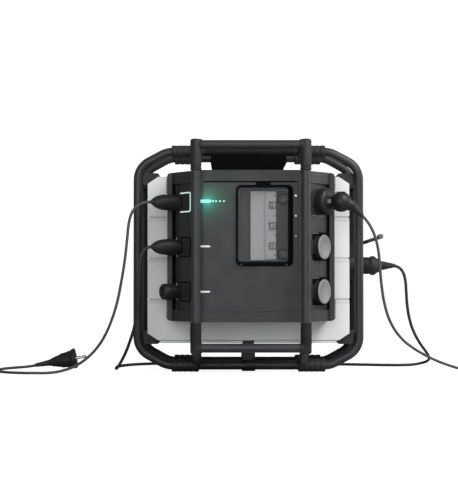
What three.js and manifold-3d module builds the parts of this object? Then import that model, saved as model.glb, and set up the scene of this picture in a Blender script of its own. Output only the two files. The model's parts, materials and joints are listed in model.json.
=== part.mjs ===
// Portable power station: light-grey battery tiers and a dark control module inside a tubular roll cage.
// Millimetres, +Z up. The control module faces -Y, and +X is the right-hand side seen from there.
// Lengths are measured from the floor and from the middle of the front hoop. The last lines move the
// whole object so that its origin is under the middle of its box, without the cords.

import * as THREE from 'three';
import { mergeVertices } from 'three/addons/utils/BufferGeometryUtils.js';
import Module from 'manifold-3d';

const wasm = await Module();
wasm.setup();

// ---- Driving dimensions ----

const GAP = 0.3;
const BORE_CLEARANCE = 0.5;
const SIDES = [['left', -1], ['right', 1]];

const HOOP = {
  tubeRadius: 8,
  frontY: 0,
  rearY: 137,
  halfWidth: 199,
  rearHalfWidth: 197,
  shoulder: 146.5,
  bottomZ: 11.6,
  topZ: 395.4,
  cornerRise: 27.9,
  shoulderBend: 45,
  postBend: 37,
};

const SLEEVE = { from: 89, to: 138, radius: 12, padHalfWidth: 4.5 };

const GUARD = {
  centreX: 2.2,
  halfWidth: 93.5,
  y: -150,
  uprightFrom: 60,
  uprightTo: 385.7,
  handleRadius: 7.5,
  lowerBarRadius: 7.8,
  lowerBarZ: 49.5,
  barEnd: 88,
  elbowRadius: 9.6,
  armRadius: 8.6,
  topElbow: [351.5, 404.8],
  bottomElbow: [39.4, 92.8],
};

const BODY = {
  halfWidth: 181,
  x: [-181, 181],
  y: [-10, 138],
  z: [56.5, 350],
  cornerX: 161.95,
  cornerDrop: 12.55,
  wall: 5,
  seams: [277, 203.5, 130],
  seamDepth: 1.4,
  seamHalfHeight: 1.3,
};

const MODULE = {
  z: [92.6, 353.7],
  flangeY: [-57, -43],
  flangeX: [-143.7, 151],
  frontLeft: [-86, -128],
  frontRight: [88, -128],
  rearLeft: [-128.4, -55],
  rearRight: [137, -55],
  shelfZ: [112, 333],
};

const PORT_Z = [300, 222.3, 144.6];

const BAY = {
  x: [-19, 69],
  z: [194.5, 321.5],
  stripX: [2, 46],
  stripZ: [199.3, 317.7],
  toggleX: 39.4,
  toggleZ: [293.2, 257.8, 222.9],
  buttonX: 59.2,
  buttonZ: [304.4, 209.6],
};

const WINDOW = {
  outerX: [-22.5, 71],
  outerZ: [189.7, 327.3],
  innerX: [-19.8, 66.6],
  innerZ: [196, 323.9],
  y: [-133, -128.8],
  hingeY: -131.2,
  hingeZ: 191.3,
};

const FAN = { x: 75, z: 290, half: 40, bore: 37.5, y: [100, 122] };

const SIDE_SOCKET = { y: 60, z: 191, hingeX: 200, hingeZ: 229, lidAngle: THREE.MathUtils.degToRad(18) };

// ---- Solids ----

/** Turns closed three.js geometry into a solid that can be joined and cut. */
function toSolid(geometry) {
  const bare = geometry.clone();
  bare.deleteAttribute('normal');
  bare.deleteAttribute('uv');
  const merged = mergeVertices(bare, 1e-4);
  const points = new Float32Array(merged.attributes.position.array);
  const corner = (i) => new THREE.Vector3(...points.slice(3 * i, 3 * i + 3));
  const faces = [];
  let volume = 0;
  for (let i = 0; i < merged.index.count; i += 3) {
    const [a, b, c] = merged.index.array.slice(i, i + 3);
    if (a === b || b === c || c === a) continue;
    faces.push([a, b, c]);
    volume += corner(a).dot(corner(b).cross(corner(c)));
  }
  const outward = volume > 0 ? faces : faces.map(([a, b, c]) => [a, c, b]);
  const triVerts = new Uint32Array(outward.flat());
  return new wasm.Manifold(new wasm.Mesh({ numProp: 3, vertProperties: points, triVerts }));
}

function toGeometry(solid) {
  const mesh = solid.getMesh();
  const geometry = new THREE.BufferGeometry();
  geometry.setAttribute('position', new THREE.BufferAttribute(mesh.vertProperties, 3));
  geometry.setIndex(new THREE.BufferAttribute(mesh.triVerts, 1));
  return geometry;
}

const join = (...solids) => solids.reduce((whole, solid) => whole.add(solid));
const cut = (solid, ...tools) => tools.reduce((rest, tool) => rest.subtract(tool), solid);

function block([x0, x1], [y0, y1], [z0, z1]) {
  const geometry = new THREE.BoxGeometry(x1 - x0, y1 - y0, z1 - z0);
  geometry.translate((x0 + x1) / 2, (y0 + y1) / 2, (z0 + z1) / 2);
  return toSolid(geometry);
}

/** Moves geometry made about the +Y axis so that it starts at a point and runs along a direction. */
function aim(geometry, start, direction) {
  const turn = new THREE.Quaternion().setFromUnitVectors(new THREE.Vector3(0, 1, 0), direction);
  return geometry.applyQuaternion(turn).translate(...start);
}

function rod(radius, start, end, { endRadius = radius, sides = 12 } = {}) {
  const span = new THREE.Vector3(...end).sub(new THREE.Vector3(...start));
  const length = span.length();
  const geometry = new THREE.CylinderGeometry(endRadius, radius, length, sides);
  geometry.translate(0, length / 2, 0);
  return toSolid(aim(geometry, start, span.normalize()));
}

/** A turned piece: its profile is a list of [distance along the axis, radius], closed or ending on it. */
function turned(profile, start, direction, sides = 16) {
  const points = profile.map(([distance, radius]) => new THREE.Vector2(radius, distance));
  const geometry = new THREE.LatheGeometry(points, sides);
  return toSolid(aim(geometry, start, new THREE.Vector3(...direction)));
}

/** A prism standing on a plan outline of [x, y] points. */
function planPrism(outline, [z0, z1]) {
  const shape = new THREE.Shape(outline.map(([x, y]) => new THREE.Vector2(x, y)));
  const geometry = new THREE.ExtrudeGeometry(shape, { depth: z1 - z0, bevelEnabled: false });
  return toSolid(geometry.translate(0, 0, z0));
}

/** A prism with a front outline of [x, z] points, running from y0 back to y1. */
function frontPrism(outline, [y0, y1]) {
  const shape = new THREE.Shape(outline.map(([x, z]) => new THREE.Vector2(x, z)));
  const geometry = new THREE.ExtrudeGeometry(shape, { depth: y1 - y0, bevelEnabled: false });
  return toSolid(geometry.rotateX(Math.PI / 2).translate(0, y1, 0));
}

function roundedOutline([x0, x1], [z0, z1], radius, steps = 4) {
  const centres = [[x1, z1, -1, -1], [x0, z1, 1, -1], [x0, z0, 1, 1], [x1, z0, -1, 1]];
  return centres.flatMap(([x, z, inX, inZ], quarter) =>
    Array.from({ length: steps + 1 }, (_, step) => {
      const angle = (quarter + step / steps) * (Math.PI / 2);
      return [x + radius * (inX + Math.cos(angle)), z + radius * (inZ + Math.sin(angle))];
    }));
}

function circleShape(radius, sides) {
  return new THREE.Shape(Array.from({ length: sides }, (_, i) => {
    const angle = (2 * Math.PI * i) / sides;
    return new THREE.Vector2(radius * Math.cos(angle), radius * Math.sin(angle));
  }));
}

/** A path that takes one step from each station to the next, however far apart they are. */
class StationPath extends THREE.Curve {
  constructor(stations) {
    super();
    this.stations = stations.map((point) => new THREE.Vector3(...point));
  }

  getPoint(t, target = new THREE.Vector3()) {
    const place = THREE.MathUtils.clamp(t, 0, 1) * (this.stations.length - 1);
    const index = Math.min(Math.floor(place + 1e-9), this.stations.length - 2);
    return target.lerpVectors(this.stations[index], this.stations[index + 1], place - index);
  }

  getPointAt(u, target) {
    return this.getPoint(u, target);
  }

  getTangentAt(u, target = new THREE.Vector3()) {
    const last = this.stations.length - 1;
    const index = Math.round(u * last);
    const before = this.stations[Math.max(index - 1, 0)];
    const here = this.stations[index];
    const after = this.stations[Math.min(index + 1, last)];
    const arriving = here.clone().sub(before).normalize();
    const leaving = after.clone().sub(here).normalize();
    return target.addVectors(arriving, leaving).normalize();
  }
}

function sweep(stations, radius, sides = 10) {
  const extrudePath = new StationPath(stations);
  const options = { extrudePath, steps: stations.length - 1, bevelEnabled: false };
  return toSolid(new THREE.ExtrudeGeometry(circleShape(radius, sides), options));
}

/** Stations round one bend: where two straights of a tube meet, an arc of the given radius. */
function bend(before, corner, after, radius, steps) {
  const [a, b, c] = [before, corner, after].map((point) => new THREE.Vector3(...point));
  const arriving = b.clone().sub(a).normalize();
  const leaving = c.clone().sub(b).normalize();
  const angle = arriving.angleTo(leaving);
  const tangent = radius * Math.tan(angle / 2);
  const start = b.clone().addScaledVector(arriving, -tangent);
  const inward = leaving.clone().addScaledVector(arriving, -Math.cos(angle)).normalize();
  return Array.from({ length: steps + 1 }, (_, step) => {
    const turn = (angle * step) / steps;
    return start.clone()
      .addScaledVector(arriving, radius * Math.sin(turn))
      .addScaledVector(inward, radius * (1 - Math.cos(turn)))
      .toArray();
  });
}

// ---- Materials ----

const finish = (color, roughness, metalness = 0) =>
  new THREE.MeshStandardMaterial({ color, roughness, metalness });

const materials = {
  tube: finish(0x3c3d3f, 0.42, 0.3),
  moulded: finish(0x37383a, 0.7),
  housing: finish(0x333436, 0.6),
  faceplate: finish(0x3a3b3e, 0.55),
  shell: finish(0xc4c5c6, 0.5),
  breaker: finish(0x9b9c9e, 0.5),
  lid: finish(0x9d9e9f, 0.5),
  clear: finish(0x8d9093, 0.1),
  rubber: finish(0x1d1e20, 0.6),
  steel: finish(0xa8aaad, 0.3, 0.9),
  cell: finish(0x4d6f8f, 0.6),
  board: finish(0x8c9196, 0.4, 0.8),
};

const station = new THREE.Group();

function addPiece(name, solid, material, parent = station) {
  const mesh = new THREE.Mesh(toGeometry(solid), material);
  mesh.name = name;
  parent.add(mesh);
  return mesh;
}

// ---- Roll cage ----

/** Centreline of half a hoop, from the middle of its foot round to the middle of its top. */
function hoopStations(side, y) {
  const { shoulder, bottomZ, topZ, cornerRise, shoulderBend, postBend } = HOOP;
  const halfWidth = y === HOOP.rearY ? HOOP.rearHalfWidth : HOOP.halfWidth;
  const corners = [
    [side * GAP / 2, y, bottomZ],
    [side * shoulder, y, bottomZ],
    [side * halfWidth, y, bottomZ + cornerRise],
    [side * halfWidth, y, topZ - cornerRise],
    [side * shoulder, y, topZ],
    [side * GAP / 2, y, topZ],
  ];
  const bends = [[shoulderBend, 2], [postBend, 4], [postBend, 4], [shoulderBend, 2]];
  const arcs = bends.flatMap(([radius, steps], i) =>
    bend(corners[i], corners[i + 1], corners[i + 2], radius, steps));
  return [corners[0], ...arcs, corners[5]];
}

const hoopTube = (side, y) => sweep(hoopStations(side, y), HOOP.tubeRadius);
const hoopBore = (side, y) => sweep(hoopStations(side, y), HOOP.tubeRadius + BORE_CLEARANCE);
const everyHoopBore = SIDES.flatMap(([, side]) => [HOOP.frontY, HOOP.rearY].map((y) => hoopBore(side, y)));

/** A thick sleeve on a level stretch of hoop, with a flat pad where it stands or carries. */
function hoopSleeve(side, y, atTop) {
  const { from, to, radius, padHalfWidth } = SLEEVE;
  const z = atTop ? HOOP.topZ : HOOP.bottomZ;
  const reach = HOOP.bottomZ;
  const sleeve = rod(radius, [side * from, y, z], [side * to, y, z]);
  const ends = [side * (from + 1), side * (to - 1)].sort((a, b) => a - b);
  const padZ = atTop ? [z + 7, z + reach] : [z - reach, z - 7];
  const pad = block(ends, [y - padHalfWidth, y + padHalfWidth], padZ);
  const trim = block([-250, 250], [y - 30, y + 30], atTop ? [z + reach, z + 30] : [-30, z - reach]);
  return cut(join(sleeve, pad), trim);
}

/** The straight bore that a sleeve has for its hoop. */
function sleeveBore(side, y, atTop) {
  const z = atTop ? HOOP.topZ : HOOP.bottomZ;
  return rod(HOOP.tubeRadius + BORE_CLEARANCE, [side * 70, y, z], [side * 145, y, z]);
}

function addHoops() {
  for (const [end, y] of [['front', HOOP.frontY], ['rear', HOOP.rearY]]) {
    for (const [name, side] of SIDES) {
      addPiece(`${end}_hoop_${name}`, hoopTube(side, y), materials.tube);
    }
  }
}

function addRearSleeves() {
  for (const [level, atTop] of [['top', true], ['bottom', false]]) {
    for (const [name, side] of SIDES) {
      const sleeve = cut(hoopSleeve(side, HOOP.rearY, atTop), sleeveBore(side, HOOP.rearY, atTop));
      addPiece(`rear_sleeve_${level}_${name}`, sleeve, materials.moulded);
    }
  }
}

/** One moulded connector: elbow on the guard's corner, arm, and sleeve on the front hoop. */
function guardConnector(side, atTop) {
  const x = GUARD.centreX + side * GUARD.halfWidth;
  const { y, elbowRadius: radius } = GUARD;
  const [low, high] = atTop ? GUARD.topElbow : GUARD.bottomElbow;
  const barZ = atTop ? HOOP.topZ : GUARD.lowerBarZ;
  const barRadius = (atTop ? GUARD.handleRadius : GUARD.lowerBarRadius) + BORE_CLEARANCE;
  const hoopZ = atTop ? HOOP.topZ : HOOP.bottomZ + GAP;
  const elbow = turned([[0, 0], [0, radius - 2], [2, radius], [high - low - 2, radius],
    [high - low, radius - 2], [high - low, 0]], [x, y, low], [0, 0, 1]);
  const stub = rod(radius - 0.2, [x, y, barZ], [x - side * 10.5, y, barZ]);
  const arm = rod(GUARD.armRadius, [x, y, barZ], [x, HOOP.frontY, hoopZ]);
  const uprightBore = atTop
    ? rod(HOOP.tubeRadius + BORE_CLEARANCE, [x, y, low - 5], [x, y, GUARD.uprightTo + GAP])
    : rod(HOOP.tubeRadius + BORE_CLEARANCE, [x, y, GUARD.uprightFrom - GAP], [x, y, high + 5]);
  const barEnd = GUARD.centreX + side * (GUARD.barEnd + GAP);
  const barBore = rod(barRadius, [barEnd, y, barZ], [side * 70, y, barZ]);
  const body = join(elbow, stub, arm, hoopSleeve(side, HOOP.frontY, atTop));
  return cut(body, uprightBore, barBore, sleeveBore(side, HOOP.frontY, atTop));
}

function addGuard() {
  for (const [name, side] of SIDES) {
    addPiece(`guard_connector_top_${name}`, guardConnector(side, true), materials.moulded);
    addPiece(`guard_connector_bottom_${name}`, guardConnector(side, false), materials.moulded);
    const x = GUARD.centreX + side * GUARD.halfWidth;
    const upright = rod(HOOP.tubeRadius, [x, GUARD.y, GUARD.uprightFrom], [x, GUARD.y, GUARD.uprightTo]);
    addPiece(`guard_upright_${name}`, upright, materials.tube);
  }
  const [left, right] = [-1, 1].map((side) => GUARD.centreX + side * GUARD.barEnd);
  const bar = (radius, z) => rod(radius, [left, GUARD.y, z], [right, GUARD.y, z]);
  addPiece('handle_tube', bar(GUARD.handleRadius, HOOP.topZ), materials.tube);
  addPiece('lower_guard_bar', bar(GUARD.lowerBarRadius, GUARD.lowerBarZ), materials.tube);
}

/** A wedge-shaped rail between the front and rear posts that holds a long corner of the body. */
function cornerRail(side, atTop) {
  const middle = (BODY.z[0] + BODY.z[1]) / 2;
  const profile = [[162.5, 350], [165.9, 357.2], [203, 357.2], [203, 336], [183, 336.5]];
  const outline = profile.map(([x, z]) => [side * x, atTop ? z : 2 * middle - z]);
  const rail = frontPrism(outline, [HOOP.frontY, HOOP.rearY]);
  return cut(rail, hoopBore(side, HOOP.frontY), hoopBore(side, HOOP.rearY));
}

function addMounts() {
  for (const [level, atTop] of [['top', true], ['bottom', false]]) {
    for (const [name, side] of SIDES) {
      addPiece(`corner_rail_${level}_${name}`, cornerRail(side, atTop), materials.moulded);
    }
  }
  const half = [[63, BODY.z[1] + GAP], [63, 370], [68, 374], [68, 391]];
  const outline = [...half, ...half.map(([x, z]) => [-x, z]).reverse()];
  const saddle = frontPrism(outline, [HOOP.frontY - 11, HOOP.rearY + 11]);
  addPiece('top_saddle', cut(saddle, ...everyHoopBore), materials.moulded);
  addPiece('bottom_clamp', bottomClamp(), materials.moulded);
}

/** Collars round both foot tubes, a spine between them and a stem up to the body at each end. */
function bottomClamp() {
  const width = 12;
  const collars = [HOOP.frontY, HOOP.rearY].map((y) =>
    rod(10.6, [-width, y, HOOP.bottomZ], [width, y, HOOP.bottomZ]));
  const stems = [HOOP.frontY, HOOP.rearY - 6].map((y) =>
    block([-width + 2, width - 2], [y - 3, y + 8], [HOOP.bottomZ, BODY.z[0] - GAP]));
  const spine = block([-width, width], [HOOP.frontY, HOOP.rearY], [24, 34]);
  return cut(join(...collars, ...stems, spine), ...everyHoopBore);
}

// ---- Body ----

function bodyOutline() {
  const [bottom, top] = BODY.z;
  const right = [
    [BODY.cornerX, bottom],
    [BODY.halfWidth, bottom + BODY.cornerDrop],
    [BODY.halfWidth, top - BODY.cornerDrop],
    [BODY.cornerX, top],
  ];
  return [...right, ...right.map(([x, z]) => [-x, z]).reverse()];
}

const REAR_OPENING = { x: [-150, 150], z: [76, 330] };

function hollowBody() {
  const inset = ([low, high], by) => [low + by, high - by];
  const cavity = block(inset(BODY.x, BODY.wall), inset(BODY.y, BODY.wall), inset(BODY.z, BODY.wall));
  const rearOpening = block(REAR_OPENING.x, [120, 150], REAR_OPENING.z);
  const cableSlot = block([-40, 40], [-20, 0], [215, 265]);
  const { y, z } = SIDE_SOCKET;
  const sideHole = rod(13.5, [170, y, z], [190, y, z]);
  const grooves = BODY.seams.map((seam) => {
    const level = [seam - BODY.seamHalfHeight, seam + BODY.seamHalfHeight];
    const inside = block(inset(BODY.x, BODY.seamDepth), inset(BODY.y, BODY.seamDepth), level);
    return cut(block([-200, 200], [-20, 150], level), inside);
  });
  return cut(frontPrism(bodyOutline(), BODY.y), cavity, rearOpening, cableSlot, sideHole, ...grooves);
}

function addBody() {
  const levels = [BODY.z[1] + 1, ...BODY.seams, BODY.z[0] - 1];
  const body = hollowBody();
  for (let tier = 0; tier < levels.length - 1; tier += 1) {
    const slice = block([-200, 200], [-30, 160], [levels[tier + 1] + GAP / 2, levels[tier] - GAP / 2]);
    addPiece(`body_tier_${tier + 1}`, body.intersect(slice), materials.shell);
  }
  addPiece('rear_cover', rearCover(), materials.shell);
}

function rearCover() {
  const { x, z } = REAR_OPENING;
  const back = BODY.y[1] + GAP;
  const plate = frontPrism(roundedOutline([x[0] - 8, x[1] + 8], [z[0] - 8, z[1] + 8], 10), [back, back + 4]);
  const lip = block([x[0] + GAP, x[1] - GAP], [back - 5, back + 1], [z[0] + GAP, z[1] - GAP]);
  const hollow = block([x[0] + 4, x[1] - 4], [back - 6, back], [z[0] + 4, z[1] - 4]);
  const slots = Array.from({ length: 6 }, (_, i) => {
    const low = FAN.z - 33 + 12 * i;
    return block([FAN.x - 34, FAN.x + 34], [back - 6, back + 6], [low, low + 6]);
  });
  return cut(join(plate, lip), hollow, ...slots);
}

function addInside() {
  addPiece('battery_pack', frontPrism(roundedOutline([-150, 150], [66, 230], 8), [20, 120]), materials.cell);
  const base = block([-140, 20], [10, 125], [240, 244]);
  const fins = Array.from({ length: 9 }, (_, i) => {
    const x = -132 + 17 * i;
    return block([x, x + 4], [30, 110], [243, 285]);
  });
  addPiece('inverter_board', join(base, ...fins), materials.board);
  addPiece('fan_frame', fanFrame(), materials.rubber);
  addPiece('fan_rotor', fanRotor(), materials.moulded);
}

function fanFrame() {
  const { x, z, half, bore, y: [front, back] } = FAN;
  const frame = block([x - half, x + half], [front, back], [z - half, z + half]);
  const ring = cut(frame, rod(bore, [x, front - 1, z], [x, back + 1, z], { sides: 24 }));
  const strut = (dx, dz) => block([x - dx, x + dx], [back - 3, back], [z - dz, z + dz]);
  const hub = rod(12, [x, back - 3, z], [x, back, z]);
  const shaft = rod(2, [x, front + 4, z], [x, back - 2, z]);
  return join(ring, strut(half - 1, 2), strut(2, half - 1), hub, shaft);
}

function fanRotor() {
  const { x, z, y: [front, back] } = FAN;
  const depth = back - 3 - GAP - (front + 1);
  const hub = turned([[0, 0], [0, 13], [depth, 13], [depth, 2.5], [3 - GAP, 2.5], [3 - GAP, 0]],
    [x, front + 1, z], [0, 1, 0]);
  const blades = Array.from({ length: 5 }, (_, i) => {
    const geometry = new THREE.BoxGeometry(24, 13, 2);
    geometry.translate(24, 0, 0).rotateX(THREE.MathUtils.degToRad(38));
    geometry.rotateY((2 * Math.PI * i) / 5).translate(x, front + 9, z);
    return toSolid(geometry);
  });
  return join(hub, ...blades);
}

// ---- Control module ----

function moduleHousing() {
  const { z, shelfZ, flangeX, flangeY, frontLeft, frontRight, rearLeft, rearRight } = MODULE;
  const core = planPrism([frontLeft, frontRight, [143, -56], [143, -50], [-136, -50], [-136, -56]], z);
  const leftRecess = planPrism([frontLeft, rearLeft, [-200, -55], [-200, -128]], shelfZ);
  const rightRecess = planPrism([frontRight, [200, -128], [200, -55], rearRight], shelfZ);
  const flange = frontPrism(roundedOutline(flangeX, z, 6, 2), flangeY);
  const grooves = [[-133.5, rearLeft[0]], [rearRight[0], 142]].map((x) => block(x, [-58, -50], shelfZ));
  const backBox = block([-135, 145], [flangeY[1] - 1, BODY.y[0] - GAP], [97, 349]);
  const cavity = planPrism([[-80, -119], [82, -119], [126, -52], [136, -46], [136, -5], [-126, -5],
    [-126, -46], [-118, -52]], [98, 348]);
  const plateRecess = block([-80.4, 84], [-140, -125], [110, 332.6]);
  const bay = block([BAY.x[0] - GAP, BAY.x[1] + GAP], [-140, -110], [BAY.z[0] - GAP, BAY.z[1] + GAP]);
  const shell = join(cut(core, leftRecess, rightRecess), cut(flange, ...grooves), backBox);
  return cut(shell, cavity, plateRecess, bay, ...portHoles(leftFace, 15.6), ...portHoles(rightFace, 21.6));
}

/** A slanted side face: a point on it and the direction that it looks in, seen in plan. */
function slantedFace(front, rear, share, outward) {
  const [dx, dy] = [rear[0] - front[0], rear[1] - front[1]];
  const length = Math.hypot(dx, dy);
  const normal = [(outward * dy) / length, (-outward * dx) / length];
  return { point: [front[0] + share * dx, front[1] + share * dy], normal };
}

const leftFace = slantedFace(MODULE.frontLeft, MODULE.rearLeft, 0.755, -1);
const rightFace = slantedFace(MODULE.frontRight, MODULE.rearRight, 0.673, 1);

/** A point at a distance out from the face's own point. */
function outFrom({ point, normal }, distance, z) {
  return [point[0] + distance * normal[0], point[1] + distance * normal[1], z];
}

const portHoles = (face, radius) =>
  PORT_Z.map((z) => rod(radius, outFrom(face, -30, z), outFrom(face, 10, z), { sides: 18 }));

/** A group whose local +X looks out of the face, at the height of one port. */
function portGroup({ point, normal }, z) {
  const group = new THREE.Group();
  group.position.set(point[0], point[1], z);
  group.rotation.z = Math.atan2(normal[1], normal[0]);
  station.add(group);
  return group;
}

function addFaceplate() {
  const { x, z, stripX, stripZ } = BAY;
  const plate = block([-80, 83.6], [-128, -125.3], [110.4, 332.2]);
  const tray = block(x, [-126, -112], z);
  const pocket = block([x[0] + 2, x[1] - 2], [-140, -114], [z[0] + 2, z[1] - 2]);
  const slot = block([stripX[0] - GAP, stripX[1] + GAP], [-120, -100], [stripZ[0] - GAP, stripZ[1] + GAP]);
  const stems = BAY.buttonZ.map((at) => rod(5.5, [BAY.buttonX, -120, at], [BAY.buttonX, -105, at]));
  const notch = block([11, 37], [-130, -126.2], [325, 332]);
  const lugs = [[-16, -12.4], [61.4, 65]].flatMap(([from, to]) => [
    rod(2.2, [from, WINDOW.hingeY, WINDOW.hingeZ], [to, WINDOW.hingeY, WINDOW.hingeZ]),
    block([from, to], [WINDOW.hingeY, -126], [WINDOW.hingeZ - 2, WINDOW.hingeZ + 2]),
  ]);
  const pinBore = rod(1.5, [-18, WINDOW.hingeY, WINDOW.hingeZ], [67, WINDOW.hingeY, WINDOW.hingeZ]);
  const body = cut(join(plate, tray), pocket, slot, notch, ...stems);
  addPiece('faceplate', cut(join(body, ...lugs), pinBore), materials.faceplate);
}

function addBreakers() {
  const { stripX, stripZ, toggleX, toggleZ } = BAY;
  const wells = toggleZ.map((z) => block([toggleX - 6, toggleX + 6], [-130, -110], [z - 6, z + 6]));
  const base = block(stripX, [-119, -62], stripZ);
  const nose = block([27, stripX[1]], [-121.5, -110], [stripZ[0] + 2, stripZ[1] - 2]);
  addPiece('breaker_bank', cut(join(base, nose), ...wells), materials.breaker);
  toggleZ.forEach((z, index) => {
    const lever = join(rod(4.5, [0, 0, -4.5], [0, 0, 4.5]), block([-1.6, 1.6], [-10.5, 0], [-4.5, 4.5]));
    const mesh = addPiece(`breaker_toggle_${index + 1}`, lever, materials.breaker);
    mesh.position.set(toggleX, -116, z);
    mesh.rotation.z = THREE.MathUtils.degToRad(20);
  });
  ['power_button', 'reset_button'].forEach((name, index) => {
    const head = turned([[0, 0], [0, 5.2], [1.2, 7], [4.5, 7], [4.5, 5], [14, 5], [14, 0]],
      [0, 0, 0], [0, 1, 0]);
    addPiece(name, head, materials.faceplate).position.set(BAY.buttonX, -122, BAY.buttonZ[index]);
  });
}

function addWindow() {
  const { outerX, outerZ, innerX, innerZ, y, hingeY, hingeZ } = WINDOW;
  const outer = frontPrism(roundedOutline(outerX, outerZ, 8), y);
  const inner = frontPrism(roundedOutline(innerX, innerZ, 6), [y[0] - 1, y[1] + 1]);
  const lugRoom = [[-16.5, -11.9], [60.9, 65.5]].map((x) => block(x, [-140, -120], [180, hingeZ + 2.7]));
  const knuckle = rod(2.4, [-11.9, hingeY, hingeZ], [60.9, hingeY, hingeZ]);
  const pinBore = rod(1.5, [-18, hingeY, hingeZ], [67, hingeY, hingeZ]);
  const bezel = cut(join(cut(outer, inner, ...lugRoom), knuckle), pinBore);
  addPiece('window_bezel', bezel, materials.rubber);
  const pane = roundedOutline([innerX[0] + GAP, innerX[1] - GAP], [innerZ[0] + GAP, innerZ[1] - GAP], 5.7);
  addPiece('window_pane', frontPrism(pane, [-132.2, -129.7]), materials.clear);
  addPiece('window_hinge_pin', rod(1.2, [-16, hingeY, hingeZ], [65, hingeY, hingeZ]), materials.steel);
}

function addInlets() {
  const group = portGroup(leftFace, 0);
  const plate = block([GAP, 2.3], [-18, 40], [124, 322]);
  const collars = PORT_Z.map((z) => rod(15, [-16, 0, z], [4, 0, z], { sides: 18 }));
  const bores = PORT_Z.map((z) => rod(12.6, [-14, 0, z], [5, 0, z], { sides: 18 }));
  const cores = PORT_Z.map((z) => rod(5, [-15, 0, z], [1, 0, z]));
  const inlets = join(cut(join(plate, ...collars), ...bores), ...cores);
  addPiece('inlet_plate', inlets, materials.housing, group);
  addPiece('port_cap', turned(capProfile(), [0, 0, 0], [1, 0, 0], 16), materials.rubber,
    portGroup(leftFace, PORT_Z[2]));
}

/** A hollow nose that fits the inlet, a short neck, then a stubby round body with a thick rim. */
function capProfile() {
  return [[1.5, 0], [1.5, 5.6], [-12, 5.6], [-12, 12], [4.3, 12], [5.5, 10.6], [11, 10.6], [13, 12.6],
    [23, 12.8], [24, 13.8], [36, 13.8], [38, 12], [38, 9], [35, 8], [35, 0]];
}

function addSockets() {
  const group = portGroup(rightFace, 0);
  const plate = block([GAP, 2.3], [-35, 26], [117, 327.5]);
  const collars = PORT_Z.map((z) => rod(22.3, [1, 0, z], [7, 0, z], { sides: 20 }));
  const barrels = PORT_Z.map((z) => rod(21, [-20, 0, z], [3, 0, z], { sides: 20 }));
  const wells = PORT_Z.map((z) => rod(19.3, [-16, 0, z], [8, 0, z], { sides: 20 }));
  const pinHoles = PORT_Z.flatMap((z) => [-9.5, 9.5].map((y) => rod(2.6, [-30, y, z], [0, y, z])));
  const outlets = cut(join(plate, ...collars, ...barrels), ...wells, ...pinHoles);
  addPiece('socket_plate', outlets, materials.housing, group);
  for (const port of [1, 2]) {
    const parent = portGroup(rightFace, PORT_Z[port]);
    addPiece(`socket_lid_${port + 1}`, socketLid(), materials.lid, parent);
  }
}

/** A round lid that lies on the socket's collar, hung from an ear above it. */
function socketLid() {
  const disc = turned([[7.3, 0], [7.3, 21.3], [10.8, 21.3], [12.2, 19.5], [12.2, 0]], [0, 0, 0],
    [1, 0, 0], 20);
  const ear = block([7.3, 11], [-7, 7], [16, 25.5]);
  const latch = block([7.3, 11], [-4, 4], [-24.5, -16]);
  return join(disc, ear, latch);
}

function addSideSocket() {
  const { y, z, hingeX, hingeZ, lidAngle } = SIDE_SOCKET;
  const wall = BODY.halfWidth + GAP;
  const plate = block([wall, wall + 3], [y - 29, y + 29], [z - 32, z + 42]);
  const collar = rod(23.5, [wall + 2, y, z], [wall + 17, y, z], { sides: 20 });
  const barrel = rod(12.8, [wall - 10, y, z], [wall + 3, y, z]);
  const well = rod(19.8, [wall + 4, y, z], [wall + 20, y, z], { sides: 20 });
  const lugs = [[-18, -13], [13, 18]].map(([from, to]) =>
    block([wall + 1, hingeX + 2.5], [y + from, y + to], [z + 12, hingeZ + 2.5]));
  const socket = cut(join(plate, collar, barrel, ...lugs), well);
  addPiece('side_socket', socket, materials.housing);
  const hinge = new THREE.Group();
  hinge.position.set(hingeX, y, hingeZ);
  hinge.rotation.y = -lidAngle;
  station.add(hinge);
  const knuckle = rod(3, [0, -12.7, 0], [0, 12.7, 0]);
  const leaf = block([0, 46], [-12.7, 12.7], [-3, 2]);
  const round = rod(23, [27, 0, -3], [27, 0, 2], { sides: 20 });
  addPiece('side_lid', join(knuckle, leaf, round), materials.lid, hinge);
}

// ---- Cords and what is on them ----

const CHARGE_CORD = { diameter: 5, points: [
  [-170.8, -103.5, 300], [-176, -106.6, 299.6], [-185, -110.5, 297], [-192.5, -113, 293],
  [-198, -114.5, 287.5], [-203, -115.3, 279], [-207.5, -115, 262], [-210, -114, 240],
  [-214.3, -111, 202], [-221, -107, 161], [-229, -102, 124], [-238, -97.5, 96], [-250, -92, 69],
  [-263, -86, 49], [-280, -78, 31], [-303, -70, 15], [-325, -68, 6.5], [-345, -70, 2.9],
  [-377, -76, 2.6], [-410, -68, 2.6], [-435, -46, 2.6], [-449, -14, 2.6], [-451, 22, 2.6],
  [-441, 56, 2.6], [-424, 79, 2.8], [-406, 88.5, 4], [-396.3, 90, 5.4],
] };

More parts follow.
